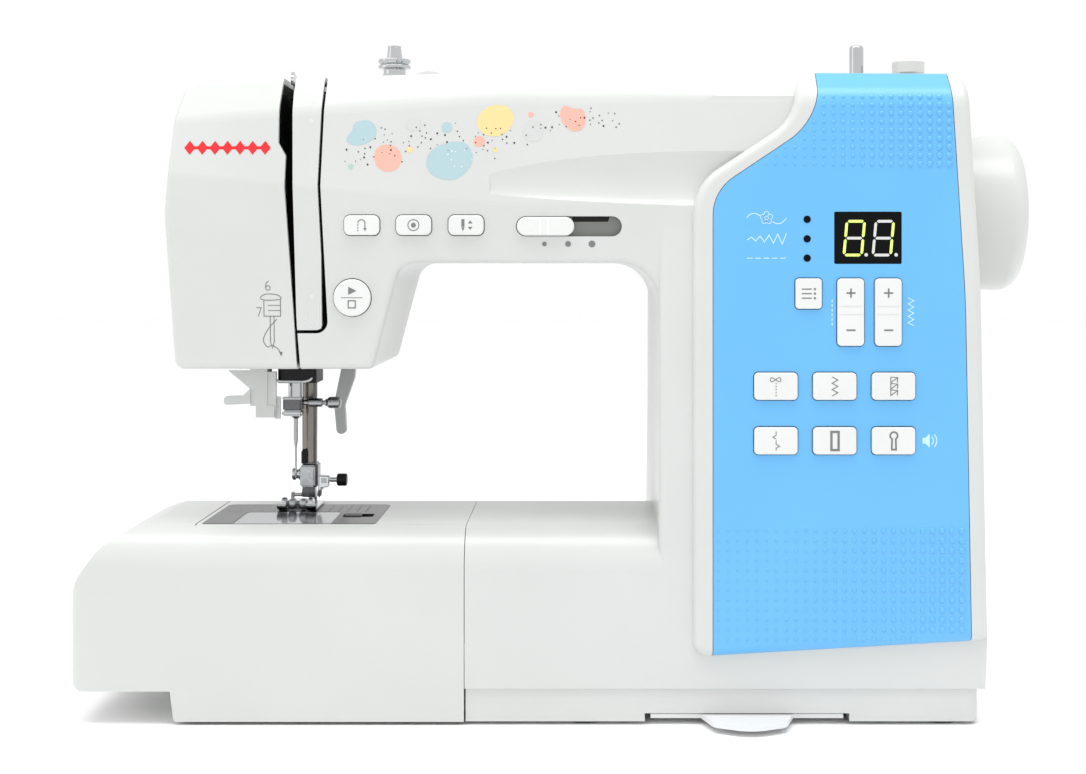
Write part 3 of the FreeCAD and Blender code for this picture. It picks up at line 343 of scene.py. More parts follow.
class Sheet:
    """Thin printed shapes gathered into one piece."""

    def __init__(self, surface, looking=FRONT, lift=PRINT):
        self.surface = surface
        self.looking = looking
        self.lift = lift
        self.verts = []
        self.faces = []

    def _grid(self, rows):
        """Quads over a grid of (x, v) points; cells that miss the surface are left out."""
        index = []
        for row in rows:
            line = []
            for x, v in row:
                point = laid(self.surface, x, v, self.looking, self.lift)
                if point is None:
                    line.append(None)
                else:
                    line.append(len(self.verts))
                    self.verts.append(point)
            index.append(line)
        for low, high in zip(index, index[1:]):
            for i in range(len(low) - 1):
                quad = [low[i], low[i + 1], high[i + 1], high[i]]
                if None not in quad:
                    self.faces.append(quad)

    def stroke(self, points, width, closed=False, step=CELL):
        """A line of even width through (x, v) points."""
        path = [Vector(p) for p in points]
        if closed:
            path.append(path[0].copy())
        dense = [path[0]]
        for a, b in zip(path, path[1:]):
            count = max(1, int((b - a).length / step))
            dense += [a.lerp(b, (i + 1) / count) for i in range(count)]
        steps = [b - a for a, b in zip(dense, dense[1:])]
        before = [steps[-1] if closed else steps[0]] + steps
        after = steps + [steps[0] if closed else steps[-1]]
        left, right = [], []
        for point, arriving, leaving in zip(dense, before, after):
            a, b = arriving.normalized(), leaving.normalized()
            across = Vector((-a.y, a.x))
            normal = Vector((-(a + b).y, (a + b).x))
            normal = normal.normalized() if normal.length > 1e-6 else across
            reach = width / 2 / max(MITRE, normal.dot(across))
            left.append(point + normal * reach)
            right.append(point - normal * reach)
        self._grid([left, right])

    def fill(self, outline, rings=5):
        """A solid shape that its centre sees all of."""
        centre = Vector((sum(p[0] for p in outline), sum(p[1] for p in outline))) / len(outline)
        edge = [Vector(p) for p in outline] + [Vector(outline[0])]
        shares = [0.02] + list(range(1, rings + 1))
        self._grid([[centre.lerp(p, share / rings) for p in edge] for share in shares])

    def disc(self, x, v, radius, segments=20):
        """A round spot."""
        self.fill(circle(x, v, radius, segments), 2)

    def ring(self, x, v, radius, width, segments=40):
        """A round line."""
        self.stroke(circle(x, v, radius, segments), width, True)

    def bar(self, x0, v0, x1, v1):
        """A filled upright rectangle."""
        columns = max(1, int(abs(x1 - x0) / CELL))
        rows = max(1, int(abs(v1 - v0) / CELL))
        grid = []
        for r in range(rows + 1):
            v = v0 + (v1 - v0) * r / rows
            grid.append([(x0 + (x1 - x0) * c / columns, v) for c in range(columns + 1)])
        self._grid(grid)

    def make(self, name, material, body="casing", slot_name=None):
        """The shapes drawn so far, as one piece."""
        return piece(name, self.verts, self.faces, material, body)


# Inks ----------------------------------------------------------------------------------------

INK_GREY = ink("ink_grey", (0.17, 0.17, 0.175))
INK_BLACK = ink("ink_black", (0.015, 0.015, 0.017))
INK_PALE = ink("ink_pale", (0.48, 0.74, 0.88))
INK_RED = ink("ink_red", (0.72, 0.012, 0.02))
INK_CORAL = ink("ink_coral", (0.83, 0.41, 0.33))
INK_TEAL = ink("ink_teal", (0.38, 0.53, 0.565))
INK_YELLOW = ink("ink_yellow", (0.82, 0.61, 0.28))
INK_STONE = ink("ink_stone", (0.56, 0.57, 0.562))
INK_LEAF = ink("ink_leaf", (0.38, 0.53, 0.49))
# Pale ink: printed flecks on a pebble, and painted highlights on the slider knob's grip ridges.
PALE_INK_AND_HIGHLIGHT = ink("pale_ink_and_painted_highlight", (0.85, 0.86, 0.85), 0.3)
# Painted shade: a light grey that darkens creases and moulded relief on white parts.
GROOVE_SHADE = ink("groove_painted_shade", (0.62, 0.64, 0.64), 0.5)
LIT = glow("segment_lit", (0.62, 0.82, 0.16), 0.42)
UNLIT = ink("segment_unlit", (0.62, 0.62, 0.6), 0.3)

arm_front = surface_of("front_cover", "face_cover", "thread_path_cover")
panel_front = surface_of("control_panel")


# Button marks ----------------------------------------------------------------------------------

def centre_of(node):
    """The middle of a node's front face."""
    low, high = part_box(node)
    return (low[0] + high[0]) / 2 / MM, (low[2] + high[2]) / 2 / MM


def mark(node, name, draw, material=INK_GREY):
    """A mark printed on a moving button, drawn from its centre."""
    x, z = centre_of(node)
    sheet = Sheet(surface_of(node))
    draw(sheet, x, z)
    return sheet.make(name, material, node)


def reverse_mark(s, x, z):
    """A seam that turns back."""
    s.stroke(arc(x, z + 0.8, 1.5, 180, 0) + [(x + 1.5, z - 1.4)], 0.42)
    s.fill([(x + 0.8, z - 1.2), (x + 2.2, z - 1.2), (x + 1.5, z - 2.6)], 2)
    for k in range(3):
        s.stroke([(x - 1.5, z + 0.4 - 1.15 * k), (x - 1.5, z - 0.3 - 1.15 * k)], 0.42)


def lock_mark(s, x, z):
    """A dot in a ring."""
    s.ring(x, z, 2.3, 0.4)
    s.disc(x, z, 1.05)


def needle_mark(s, x, z):
    """A needle and its two directions."""
    s.bar(x - 1.9, z - 0.7, x - 0.6, z + 2.5)
    s.fill([(x - 1.9, z - 0.9), (x - 0.6, z - 0.9), (x - 1.25, z - 2.7)], 2)
    s.fill([(x + 0.8, z + 0.7), (x + 2.8, z + 0.7), (x + 1.8, z + 2.0)], 2)
    s.fill([(x + 0.8, z - 0.7), (x + 2.8, z - 0.7), (x + 1.8, z - 2.0)], 2)


def start_mark(s, x, z):
    """A triangle over a square, a line between them."""
    s.stroke([(x - 4.6, z), (x + 4.6, z)], 0.28)
    s.fill([(x - 1.5, z + 1.2), (x - 1.5, z + 4.6), (x + 2.0, z + 2.9)], 2)
    s.stroke([(x - 1.5, z - 1.3), (x + 1.5, z - 1.3), (x + 1.5, z - 4.3), (x - 1.5, z - 4.3)], 0.5, True)


def mode_mark(s, x, z):
    """A list of three lines."""
    for k in (-1, 0, 1):
        row = z + 1.9 * k
        s.bar(x - 3.0, row - 0.25, x + 1.2, row + 0.25)
        s.disc(x + 2.5, row, 0.5)


def rocker_mark(s, x, z):
    """Plus at the top, minus at the bottom."""
    s.bar(x - 1.9, z + 7.7, x + 1.9, z + 8.4)
    s.bar(x - 0.35, z + 6.1, x + 0.35, z + 10.0)
    s.bar(x - 1.9, z - 7.9, x + 1.9, z - 7.2)


def rocker_seam(s, x, z):
    """Painted shade: two darker lines stand in for the creases across the rocker's waist."""
    low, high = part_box("length_rocker")
    half = (high[0] - low[0]) / 2 / MM - 0.5
    s.bar(x - half, z - 1.1, x + half, z - 0.85)
    s.bar(x - half, z + 2.3, x + half, z + 2.6)


def zigzag(x, top, bottom, half, turns):
    """Points of an upright zigzag."""
    step = (top - bottom) / turns
    return [(x + (half if i % 2 else -half), top - i * step) for i in range(turns + 1)]


def straight_mark(s, x, z):
    """A bow over a dashed line."""
    loop = [(-1.6, 0.9), (-2.2, 0), (-1.6, -0.9), (0, 0)]
    bow = smooth([(0, 0)] + loop + [(-u, w) for u, w in loop[:-1]])
    s.stroke(moved(bow, x - 0.2, z + 2.8), 0.35, True, 0.5)
    for k in range(5):
        dash = z + 1.5 - 1.25 * k
        s.bar(x - 0.2, dash, x + 0.2, dash - 0.65)


def zigzag_mark(s, x, z):
    """An upright zigzag."""
    s.stroke(zigzag(x, z + 4.0, z - 4.0, 1.2, 6), 0.4)


def overlock_mark(s, x, z):
    """A spine with three barbs."""
    s.stroke([(x - 1.3, z + 4.0), (x - 1.3, z - 4.0)], 0.4)
    for k in range(3):
        top = z + 3.9 - 2.7 * k
        s.stroke([(x - 1.3, top), (x + 1.6, top - 0.2), (x - 1.3, top - 2.3)], 0.4)
        s.stroke([(x + 1.6, top - 0.2), (x + 1.4, top - 2.3)], 0.4)


def blind_mark(s, x, z):
    """A line with one step to each side."""
    s.stroke([(x, z + 4.0), (x, z + 2.4), (x - 1.3, z + 1.6), (x, z + 0.8)], 0.36)
    s.stroke([(x, z + 0.3), (x, z - 1.4), (x + 1.5, z - 2.2), (x, z - 3.0), (x, z - 4.0)], 0.36)


def buttonhole_mark(s, x, z):
    """A tall box."""
    s.stroke([(x - 1.5, z + 3.8), (x + 1.5, z + 3.8), (x + 1.5, z - 3.8), (x - 1.5, z - 3.8)], 1.0, True)


def keyhole_mark(s, x, z):
    """A round head on a narrow slot."""
    s.stroke(arc(x, z + 2.2, 1.55, -60, 240, 20) + [(x - 0.9, z - 3.6), (x + 0.9, z - 3.6)], 0.75, True)


mark("reverse_button", "mark_reverse", reverse_mark)
mark("lock_stitch_button", "mark_lock_stitch", lock_mark)
mark("needle_position_button", "mark_needle_position", needle_mark)
mark("start_stop_button", "mark_start_stop", start_mark)
mark("mode_key", "mark_mode", mode_mark)
mark("length_rocker", "mark_length", rocker_mark)
mark("width_rocker", "mark_width", rocker_mark)
# Painted shade in the rocker creases.
mark("length_rocker", "seam_length", rocker_seam, GROOVE_SHADE)
mark("width_rocker", "seam_width", rocker_seam, GROOVE_SHADE)
mark("key_straight", "mark_straight", straight_mark)
mark("key_zigzag", "mark_zigzag", zigzag_mark)
mark("key_overlock", "mark_overlock", overlock_mark)
mark("key_blind_hem", "mark_blind_hem", blind_mark)
mark("key_buttonhole", "mark_buttonhole", buttonhole_mark)
mark("key_keyhole", "mark_keyhole", keyhole_mark)


# Panel prints ------------------------------------------------------------------------------------

PANEL_LINE = 0.42


def panel_icons():
    """Three stitch samples beside the lamps, the rockers' scales and a speaker."""
    s = Sheet(panel_front)
    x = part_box("display_window")[0][0] / MM - 15.6
    top, middle, bottom = 213.5, 205.3, 197.2
    for px, pz in [(x + u, top + 0.6 + w) for u, w in petals(1.7)]:
        s.ring(px, pz, 1.0, 0.32, 16)
    stem = [(-8.4, 0.6), (-6.6, 2.2), (-4.6, 2.4), (-2.6, 1.4)]
    tail = [(2.4, -1.0), (4.4, -1.8), (6.4, -1.4), (8.4, 0.5)]
    for curve in (stem, tail):
        s.stroke(smooth(moved(curve, x, top), False), PANEL_LINE)
    wave = [(-8.2 + 1.85 * i, (0.5 + 0.22 * i) * (1 if i % 2 else -1)) for i in range(10)]
    s.stroke(moved(wave, x, middle), PANEL_LINE)
    for k in range(5):
        dash = x - 8.2 + 3.5 * k
        s.bar(dash, bottom - 0.2, dash + 2.3, bottom + 0.2)

    length_x = centre_of("length_rocker")[0]
    for k in range(6):
        tick = 168.9 + 1.95 * k
        s.bar(length_x - 7.95, tick, length_x - 7.5, tick + 1.2)
    width_x = centre_of("width_rocker")[0]
    s.stroke(zigzag(width_x + 9.6, 180.6, 168.8, 1.2, 9), 0.4)

    key_x, key_z = centre_of("key_keyhole")
    speaker_x = key_x + 13.8
    horn = [(-1.6, -1.2), (-0.4, -1.2), (1.5, -3.0), (1.5, 3.0), (-0.4, 1.2), (-1.6, 1.2)]
    s.fill(moved(horn, speaker_x, key_z), 2)
    for radius in (2.6, 4.0):
        s.stroke(arc(speaker_x + 0.4, key_z, radius, -42, 42), 0.5)
    s.make("panel_icons", INK_PALE)


def petals(radius):
    """The middles of a flower's five petals."""
    angles = [math.radians(90 + 72 * k) for k in range(5)]
    return [(radius * math.cos(t), radius * math.sin(t)) for t in angles]


panel_icons()

DOT_BANDS = [(265.2, 9, 3.55, 4.05), (82.6, 12, 4.15, 4.1)]  # top, rows, step down, step across
DOT_REACH = 1.5  # a dot needs this much panel round it
DOT_BEND = 0.0012  # and this panel may bend by so much, in metres


def dots():
    """Rows of raised dots that grow towards the right."""
    verts, faces = [], []
    low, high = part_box("control_panel")
    left, right = low[0] / MM, high[0] / MM
    around = [(-DOT_REACH, 0), (DOT_REACH, 0), (0, DOT_REACH), (0, -DOT_REACH)]
    for top, rows, down, across in DOT_BANDS:
        count = int((right - left) / across) + 2
        for r in range(rows):
            z = top - down * r
            for c in range(count):
                x = left + 1.9 + across * c
                radius = 0.4 + 1.05 * ((x - left) / (right - left)) ** 1.3
                edge = [laid(panel_front, px, pz, FRONT, 0.0) for px, pz in moved(around, x, z)]
                if None in edge or max(p.y for p in edge) - min(p.y for p in edge) > DOT_BEND:
                    continue
                dome(verts, faces, x, z, radius, 0.42 * radius + 0.1)
    piece("panel_dots", verts, faces, BLUE, "casing")


def dome(verts, faces, x, z, radius, height):
    """A low dome standing on the panel."""
    base = len(verts)
    segments = 14
    levels = [(1.0, -0.1), (0.96, 0.25), (0.82, 0.62), (0.5, 0.92)]
    for share, rise in levels:
        for px, pz in circle(x, z, radius * share, segments):
            verts.append(laid(panel_front, px, pz, FRONT, height * rise * MM))
    verts.append(laid(panel_front, x, z, FRONT, height * MM))
    for level in range(len(levels) - 1):
        for i in range(segments):
            a = base + level * segments + i
            b = base + level * segments + (i + 1) % segments
            faces.append([a, b, b + segments, a + segments])
    crown = base + len(levels) * segments
    ring = crown - segments
    for i in range(segments):
        faces.append([ring + i, ring + (i + 1) % segments, crown])


dots()


# Display -----------------------------------------------------------------------------------------

DISPLAY_X, DISPLAY_Z = 127.0, 205.6
DIGIT_HEIGHT, DIGIT_WIDTH = 14.2, 7.4
DIGIT_SLANT = 0.09
SEGMENT = 1.15  # a segment's thickness
SEGMENT_GAP = 0.34  # half the gap between two segments


def digit(lit, dull, x, z, shown):
    """Seven slanted segments; shown lists those that are lit."""
    side, up = DIGIT_WIDTH / 2, DIGIT_HEIGHT / 2
    spans = {
        "a": ((-side, up), (side, up)),
        "b": ((side, up), (side, 0)),
        "c": ((side, 0), (side, -up)),
        "d": ((-side, -up), (side, -up)),
        "e": ((-side, -up), (-side, 0)),
        "f": ((-side, 0), (-side, up)),
        "g": ((-side, 0), (side, 0)),
    }
    for name, (start, stop) in spans.items():
        a, b = Vector(start), Vector(stop)
        along = (b - a).normalized()
        across = Vector((-along.y, along.x)) * SEGMENT / 2
        a, b = a + along * SEGMENT_GAP, b - along * SEGMENT_GAP
        inner_a, inner_b = a + along * SEGMENT / 2, b - along * SEGMENT / 2
        outline = [a, inner_a + across, inner_b + across, b, inner_b - across, inner_a - across]
        target = lit if name in shown else dull
        target.fill([(x + p.x + p.y * DIGIT_SLANT, z + p.y) for p in outline], 2)


def display():
    """Two digits with their points."""
    face = surface_of("display_window")
    lit, dull = Sheet(face), Sheet(face)
    digit(lit, dull, DISPLAY_X - 5.6, DISPLAY_Z, "abcdef")
    digit(lit, dull, DISPLAY_X + 6.6, DISPLAY_Z, "bc")
    for dx in (-0.6, 12.0):
        dull.disc(DISPLAY_X + dx, DISPLAY_Z - 7.0, 0.75, 12)
    lit.make("display_lit", LIT)
    dull.make("display_unlit", UNLIT)


display()


# Arm prints --------------------------------------------------------------------------------------

def pebble(sheet, x, z, width, height, seed, lean=0.0, waist=0.0):
    """A soft irregular round shape; waist pinches its upper left side."""
    rng = random.Random(seed)
    points = []
    knots = 8
    pinched = 3
    for k in range(knots):
        t = 2 * math.pi * k / knots
        swell = 0.94 + 0.12 * rng.random() - (waist if k == pinched else 0.0)
        u, w = width / 2 * swell * math.cos(t), height / 2 * swell * math.sin(t)
        points.append((u * math.cos(lean) - w * math.sin(lean), u * math.sin(lean) + w * math.cos(lean)))
    sheet.fill(smooth(moved(points, x, z), True, 10), 8)


# Each pebble: x, z, width, height, seed, and for some a lean in radians and a waist.
PEBBLES = {
    "teal": (INK_TEAL, [
        (-86.4, 250.0, 13.6, 10.2, 3, 0.45, 0.34),
        (-49.0, 238.4, 20.8, 15.6, 8, 0.25, 0.05),
        (-50.1, 252.4, 4.4, 4.4, 5),
    ]),
    "coral": (INK_CORAL, [
        (-75.0, 239.6, 12.0, 11.4, 4, 0.0, -0.08),
        (-36.5, 246.5, 5.0, 4.6, 6),
        (-14.6, 257.9, 2.6, 2.2, 9),
        (3.2, 256.6, 12.6, 10.2, 7, 5.4, 0.26),
    ]),
    "yellow": (INK_YELLOW, [
        (-29.7, 255.5, 15.2, 13.4, 2, 0.2),
        (-65.8, 243.0, 2.6, 2.6, 10),
        (-29.6, 243.0, 2.2, 2.2, 11),
    ]),
    "stone": (INK_STONE, [(-13.9, 250.8, 9.2, 8.8, 12), (-64.2, 253.5, 6.6, 5.4, 13)]),
    "leaf": (INK_LEAF, [(-90.6, 235.8, 2.4, 2.2, 14)]),
}
SPECKS = 104
SPECK_GAP = 1.5
FLECKS = 9


def prints():
    """Pebbles, a drift of speckles along the arm and pale flecks on the widest pebble."""
    for name, (material, group) in PEBBLES.items():
        sheet = Sheet(arm_front)
        for shape in group:
            pebble(sheet, *shape)
        sheet.make(f"print_{name}", material)
    specks = Sheet(arm_front, lift=PRINT * 2)
    rng = random.Random(41)
    placed = []
    while len(placed) < SPECKS:
        share = rng.random()
        x = -95.0 + 118.0 * share
        line = 243.5 + 10.0 * math.sin(share * 2.2 - 0.5) + 3.0 * math.sin(share * 9)
        z = line + rng.gauss(0, 4.6 * (1 - 0.65 * share))
        if all(math.hypot(x - a, z - b) > SPECK_GAP for a, b in placed):
            placed.append((x, z))
            specks.disc(x, z, rng.choice((0.22, 0.3, 0.3, 0.42)), 8)
    specks.make("print_speckles", INK_BLACK)
    flecks = Sheet(arm_front, lift=PRINT * 2)
    for _ in range(FLECKS):
        flecks.disc(-46.0 + rng.uniform(-6.0, 7.0), 239.5 + rng.uniform(-4.0, 4.0), 0.26, 8)
    flecks.make("print_flecks", PALE_INK_AND_HIGHLIGHT)


prints()


def motif():
    """A bold running stitch of diamonds printed on the head."""
    s = Sheet(arm_front)
    left, middle, pitch = -158.6, 243.8, 5.3
    diamond = [(-2.35, 0), (0, 3.0), (2.35, 0), (0, -3.0)]
    for k in range(7):
        x = left + pitch * k
        s.fill(moved(diamond, x, middle), 4)
        if k:
            s.stroke([(x - pitch + 1.7, middle), (x - 1.7, middle)], 1.3)
    s.make("print_motif", INK_RED)


motif()


def threading_diagram():
    """The printed thread route beside the needle, with its two step numbers."""
    s = Sheet(arm_front)
    x = -123.6
    s.stroke(arc(x - 2.4, 184.6, 0.95, 0, 360), 0.34, True, 0.6)
    s.stroke(smooth(moved([(-3.35, 184.8), (-3.1, 186.6), (-2.0, 187.6)], x, 0), False, 5), 0.34, False, 0.6)
    s.stroke(moved([(-7.4, 176.2), (-5.4, 176.2), (-6.6, 172.6)], x, 0), 0.34)
    cap = [(-5.6, 180.6), (-3.2, 182.0), (1.6, 181.6), (3.0, 180.0), (-1.0, 179.4), (-4.6, 179.6)]
    s.stroke(smooth(moved(cap, x, 0)), 0.36, True, 0.8)
    s.stroke(moved([(-4.2, 179.2), (-4.2, 172.6), (2.8, 172.6), (2.8, 179.8)], x, 0), 0.36)
    for z in (177.2, 175.0):
        s.stroke([(x - 2.6, z), (x + 2.8, z)], 0.3)
    needle = [(-1.6, 172.4), (-1.6, 161.8), (-0.8, 159.0), (0, 161.8), (0, 172.4)]
    s.stroke(moved(needle, x, 0), 0.36)
    thread = [(1.2, 171.4), (-2.6, 167.0), (-4.6, 162.6), (-3.0, 159.6), (-1.0, 160.4)]
    tail = [(-1.0, 160.4), (1.6, 158.6), (2.6, 156.4)]
    for curve in (thread, tail):
        s.stroke(smooth(moved(curve, x, 0), False), 0.36)
    s.fill(moved([(1.9, 157.6), (3.5, 157.4), (3.0, 155.4)], x, 0), 2)
    s.make("print_threading", INK_GREY)


threading_diagram()


def strip_relief_shade():
    """Painted shade: faint darker marks stand in for moulded hints on the thread path cover."""
    s = Sheet(arm_front)
    x = -107.4
    for z in (264.0, 255.2, 180.8):
        s.disc(x, z, 1.1, 14)
    loop = [(x - 2.6, 177.4), (x - 2.6, 170.2)] + arc(x, 170.2, 2.6, 180, 360) + [(x + 2.6, 177.4)]
    s.stroke(loop, 0.5)
    s.make("strip_relief_shade", GROOVE_SHADE)


strip_relief_shade()


# Slider --------------------------------------------------------------------------------------------

def soften(mesh, edge, segments):
    """Rounds every edge of a mesh that is being built."""
    bmesh.ops.bevel(
        mesh, geom=mesh.edges[:], offset=edge * MM, segments=segments, affect="EDGES", clamp_overlap=True
    )


def slab(name, outline, front, depth, material, body="casing", edge=0.0):
    """A flat plate with an (x, z) outline, facing forward, its edges softened."""
    mesh = bmesh.new()
    face = mesh.faces.new([mesh.verts.new((x * MM, front * MM, z * MM)) for x, z in outline])
    pulled = bmesh.ops.extrude_face_region(mesh, geom=[face])["geom"]
    back = [v for v in pulled if isinstance(v, bmesh.types.BMVert)]
    bmesh.ops.translate(mesh, verts=back, vec=(0, depth * MM, 0))
    bmesh.ops.recalc_face_normals(mesh, faces=mesh.faces)
    if edge:
        soften(mesh, edge, 3)
    data = bpy.data.meshes.new(name)
    mesh.to_mesh(data)
    mesh.free()
    return added(name, data, material, body)


def stadium(x, z, width, height, segments=12):
    """An outline with round ends."""
    r = height / 2
    reach = width / 2 - r
    return arc(x + reach, z, r, -90, 90, segments) + arc(x - reach, z, r, 90, 270, segments)


def box_outline(x0, x1, z0, z1):
    """A rectangle's outline."""
    return [(x0, z0), (x1, z0), (x1, z1), (x0, z1)]


def slider_details():
    """The recess the speed knob runs in, its floor in painted shade and a black strip of painted shade for
    its slot, the scale dots and the knob's grip ridges as painted highlight lines.
    """
    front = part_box("speed_slider")[0][1] / MM
    x, z = centre_of("speed_slider")
    # Painted shade: the grey recess floor stands in for the shade in the recess.
    slab("slider_bed", stadium(1.45, z, 45.4, 9.2), front + 5.0, 1.6, RECESS_SHADE)
    # Painted shade: a black strip on the recess floor stands in for the shade inside the knob's slot.
    slot = [(3.0, z + 2.0), (18.0, z + 2.0), (18.6, z + 4.1), (3.0, z + 4.1)]
    slab("slider_slot_painted_shade", slot, front + 4.75, 0.4, BLACK)
    # Painted highlight: two pale lines stand in for light caught on the knob's grip ridges.
    grip_highlights = Sheet(surface_of("speed_slider"))
    for dx in (-2.2, 1.2):
        grip_highlights.bar(x + dx - 0.35, z - 3.4, x + dx + 0.35, z + 3.4)
    grip_highlights.make("slider_grip_highlights", PALE_INK_AND_HIGHLIGHT, "speed_slider")
    scale = Sheet(arm_front)
    for dot_x, radius in ((-8.9, 1.0), (1.1, 1.25), (11.2, 1.45)):
        scale.disc(dot_x, 203.2, radius)
    scale.make("slider_scale", INK_GREY)


slider_details()


# Turned pieces ---------------------------------------------------------------------------------------

SHARP = 0.6  # edges bent by more than this many radians stay crisp


def lathe(name, profile, origin, material, body, axis="x", segments=48):
    """A turned piece: (along, radius) points about an axis through origin."""
    verts, faces = [], []
    ax, ay, az = origin
    for along, radius in profile:
        for a, b in circle(0, 0, radius, segments):
            if axis == "x":
                verts.append(Vector((ax + along, ay + a, az + b)) * MM)
            else:
                verts.append(Vector((ax + a, ay + b, az + along)) * MM)
    for k in range(len(profile) - 1):
        for i in range(segments):
            a = k * segments + i
            b = k * segments + (i + 1) % segments
            faces.append([a, b, b + segments, a + segments])
    faces.append(list(range(segments))[::-1])
    faces.append([(len(profile) - 1) * segments + i for i in range(segments)])
    obj = piece(name, verts, faces, material, body)
    mesh = bmesh.new()
    mesh.from_mesh(obj.data)
    bmesh.ops.recalc_face_normals(mesh, faces=mesh.faces)
    for edge in mesh.edges:
        if len(edge.link_faces) == 2 and edge.calc_face_angle(0) > SHARP:
            edge.smooth = False
    mesh.to_mesh(obj.data)
    mesh.free()
    return obj


def bowed(start, stop, radius, corner, count=6):
    """A turned drum with rounded rims, as (along, radius) points."""
    quarter = [math.pi / 2 * k / count for k in range(count + 1)]
    neck = radius - corner
    rising = [(start + corner * (1 - math.cos(t)), neck + corner * math.sin(t)) for t in quarter]
    falling = [(stop - corner + corner * math.sin(t), neck + corner * math.cos(t)) for t in quarter]
    return rising + falling


def eased(profile, steps=14):
    """A profile with its corners turned into arcs, from (along, radius, corner radius) points."""
    points = []
    for i, (along, radius, corner) in enumerate(profile):
        if not corner:
            points.append((along, radius))
            continue
        tip = Vector((along, radius))
        back = (Vector(profile[i - 1][:2]) - tip).normalized()
        ahead = (Vector(profile[i + 1][:2]) - tip).normalized()
        half = back.angle(ahead) / 2
        centre = tip + (back + ahead).normalized() * corner / math.sin(half)
        first = tip + back * corner / math.tan(half) - centre
        last = tip + ahead * corner / math.tan(half) - centre
        for k in range(steps + 1):
            points.append(tuple(centre + first.lerp(last, k / steps).normalized() * corner))
    return points


def prism(near, far):
    """The points and faces of a prism between two matching outlines, in metres."""
    count = len(near)
    faces = [list(range(count))[::-1], [count + i for i in range(count)]]
    faces += [[i, (i + 1) % count, count + (i + 1) % count, count + i] for i in range(count)]
    return near + far, faces


def handwheel():
    """The handwheel with a finely rounded crown and a hollow back."""
    low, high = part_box("handwheel")
    hub, radius = low[0] / MM, (high[2] - low[2]) / 2 / MM
    middle = (hub, (low[1] + high[1]) / 2 / MM, (low[2] + high[2]) / 2 / MM)
    back, crown = 178.1 - hub, high[0] / MM - hub
    profile = [
        (0.0, 12.0, 0),
        (back + 3.4, 12.0, 0),
        (back + 3.4, radius - 5.0, 0),
        (back, radius - 5.0, 0),
        (back, radius - 0.6, 1.5),
        (crown - 3.6, radius, 8.0),
        (crown, radius - 12.0, 30.0),
        (crown, 0.5, 0),
    ]
    wheel = lathe("wheel", eased(profile), middle, WHITE_CASING, "handwheel", segments=128)
    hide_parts("handwheel")


handwheel()


def base_ledge():
    """The base's top skin in the corner behind the column."""
    top, thickness = 15.35, 2.4
    outline = [(21.2, 28.4), (42.0, 28.4), (42.0, 84.0), (34.4, 84.0)]
    lower, upper = ([Vector((x, y, z)) * MM for x, y in outline] for z in (top - thickness, top))
    verts, faces = prism(lower, upper)
    piece("base_ledge", verts, faces, WHITE_CASING, "casing", False)


base_ledge()


# Needle area -----------------------------------------------------------------------------------------

def needle_screws():
    """The clamp screw: a slim shank, a drum and a rounded knob."""
    low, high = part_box("needle_clamp_screw")
    x, y, z = low[0] / MM, (low[1] + high[1]) / 2 / MM, (low[2] + high[2]) / 2 / MM
    reach = (high[0] - low[0]) / MM
    drum, neck = reach * 0.12, reach * 0.5
    knob = reach - 6.6
    profile = [(0, 1.2), (drum, 1.2)]
    profile += bowed(drum + 0.01, neck, 2.0, 0.5)
    profile += [(neck + 0.05, 1.0), (knob - 0.6, 1.0), (knob - 0.5, 1.6), (knob, 1.8)]
    profile += bowed(knob + 0.05, reach, 2.7, 1.9, 10)
    screw = lathe("clamp_screw", profile, (x, y, z), STEEL, "needle_clamp_screw")
    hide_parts("needle_clamp_screw")


needle_screws()


def needle_clamp():
    """The clamp block on the needle bar, with its bright lower cup, its jaw and the collet below."""
    low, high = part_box("needle_clamp")
    (x0, y0, z0), (x1, y1, z1) = ([c / MM for c in corner] for corner in (low, high))
    waist = z0 + 3.0
    block = box_outline(x0, x1 - 0.4, waist, z1)
    cup = box_outline(x0 - 0.3, x1 - 0.2, z0 + 0.9, waist + 0.4)
    band = box_outline(x0 - 0.2, x1 - 0.2, z1 - 1.1, z1 + 0.2)
    parts = [
        slab("clamp_block", block, y0 - 0.2, y1 - y0 + 0.2, DARK_STEEL, "needle_bar", 0.8),
        slab("clamp_cup", cup, y0 - 0.9, 7.4, CHROME, "needle_bar", 0.7),
        slab("clamp_band", band, y0 - 0.7, 7.6, CHROME, "needle_bar", 0.4),
    ]
    collet = [(0, 0.9), (0, 1.1), (1.2, 2.6), (2.2, 3.1), (2.8, 3.1)]
    lathe("clamp_collet", collet, (-124.2, -7.0, z0 - 0.6), CHROME, "needle_bar", "z")
    for part in parts:
        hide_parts("needle_clamp")


def guide_lip():
    """The bright curved lip under the needle bar guide and the dark stem beside it."""
    low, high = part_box("needle_bar_guide")
    x0, x1, z = low[0] / MM - 0.6, high[0] / MM - 1.2, low[2] / MM
    under = [(x0, z + 1.0), (x0 + 2.0, z + 0.3), (x1 - 4.0, z + 0.2), (x1 - 1.2, z + 0.9), (x1, z + 2.4)]
    over = [(x1 - 0.5, z + 2.8), (x1 - 1.9, z + 1.7), (x1 - 4.2, z + 1.1), (x0 + 2.0, z + 1.2), (x0, z + 1.9)]
    slab("guide_lip", under + over, low[1] / MM - 1.1, 6.0, CHROME, edge=0.25)
    stem = [(0, 1.6), (0.3, 1.9), (24.0, 1.9)]
    lathe("threader_stem", stem, (-136.2, -11.6, 138.4), DARK_STEEL, "needle_threader", "z", 32)


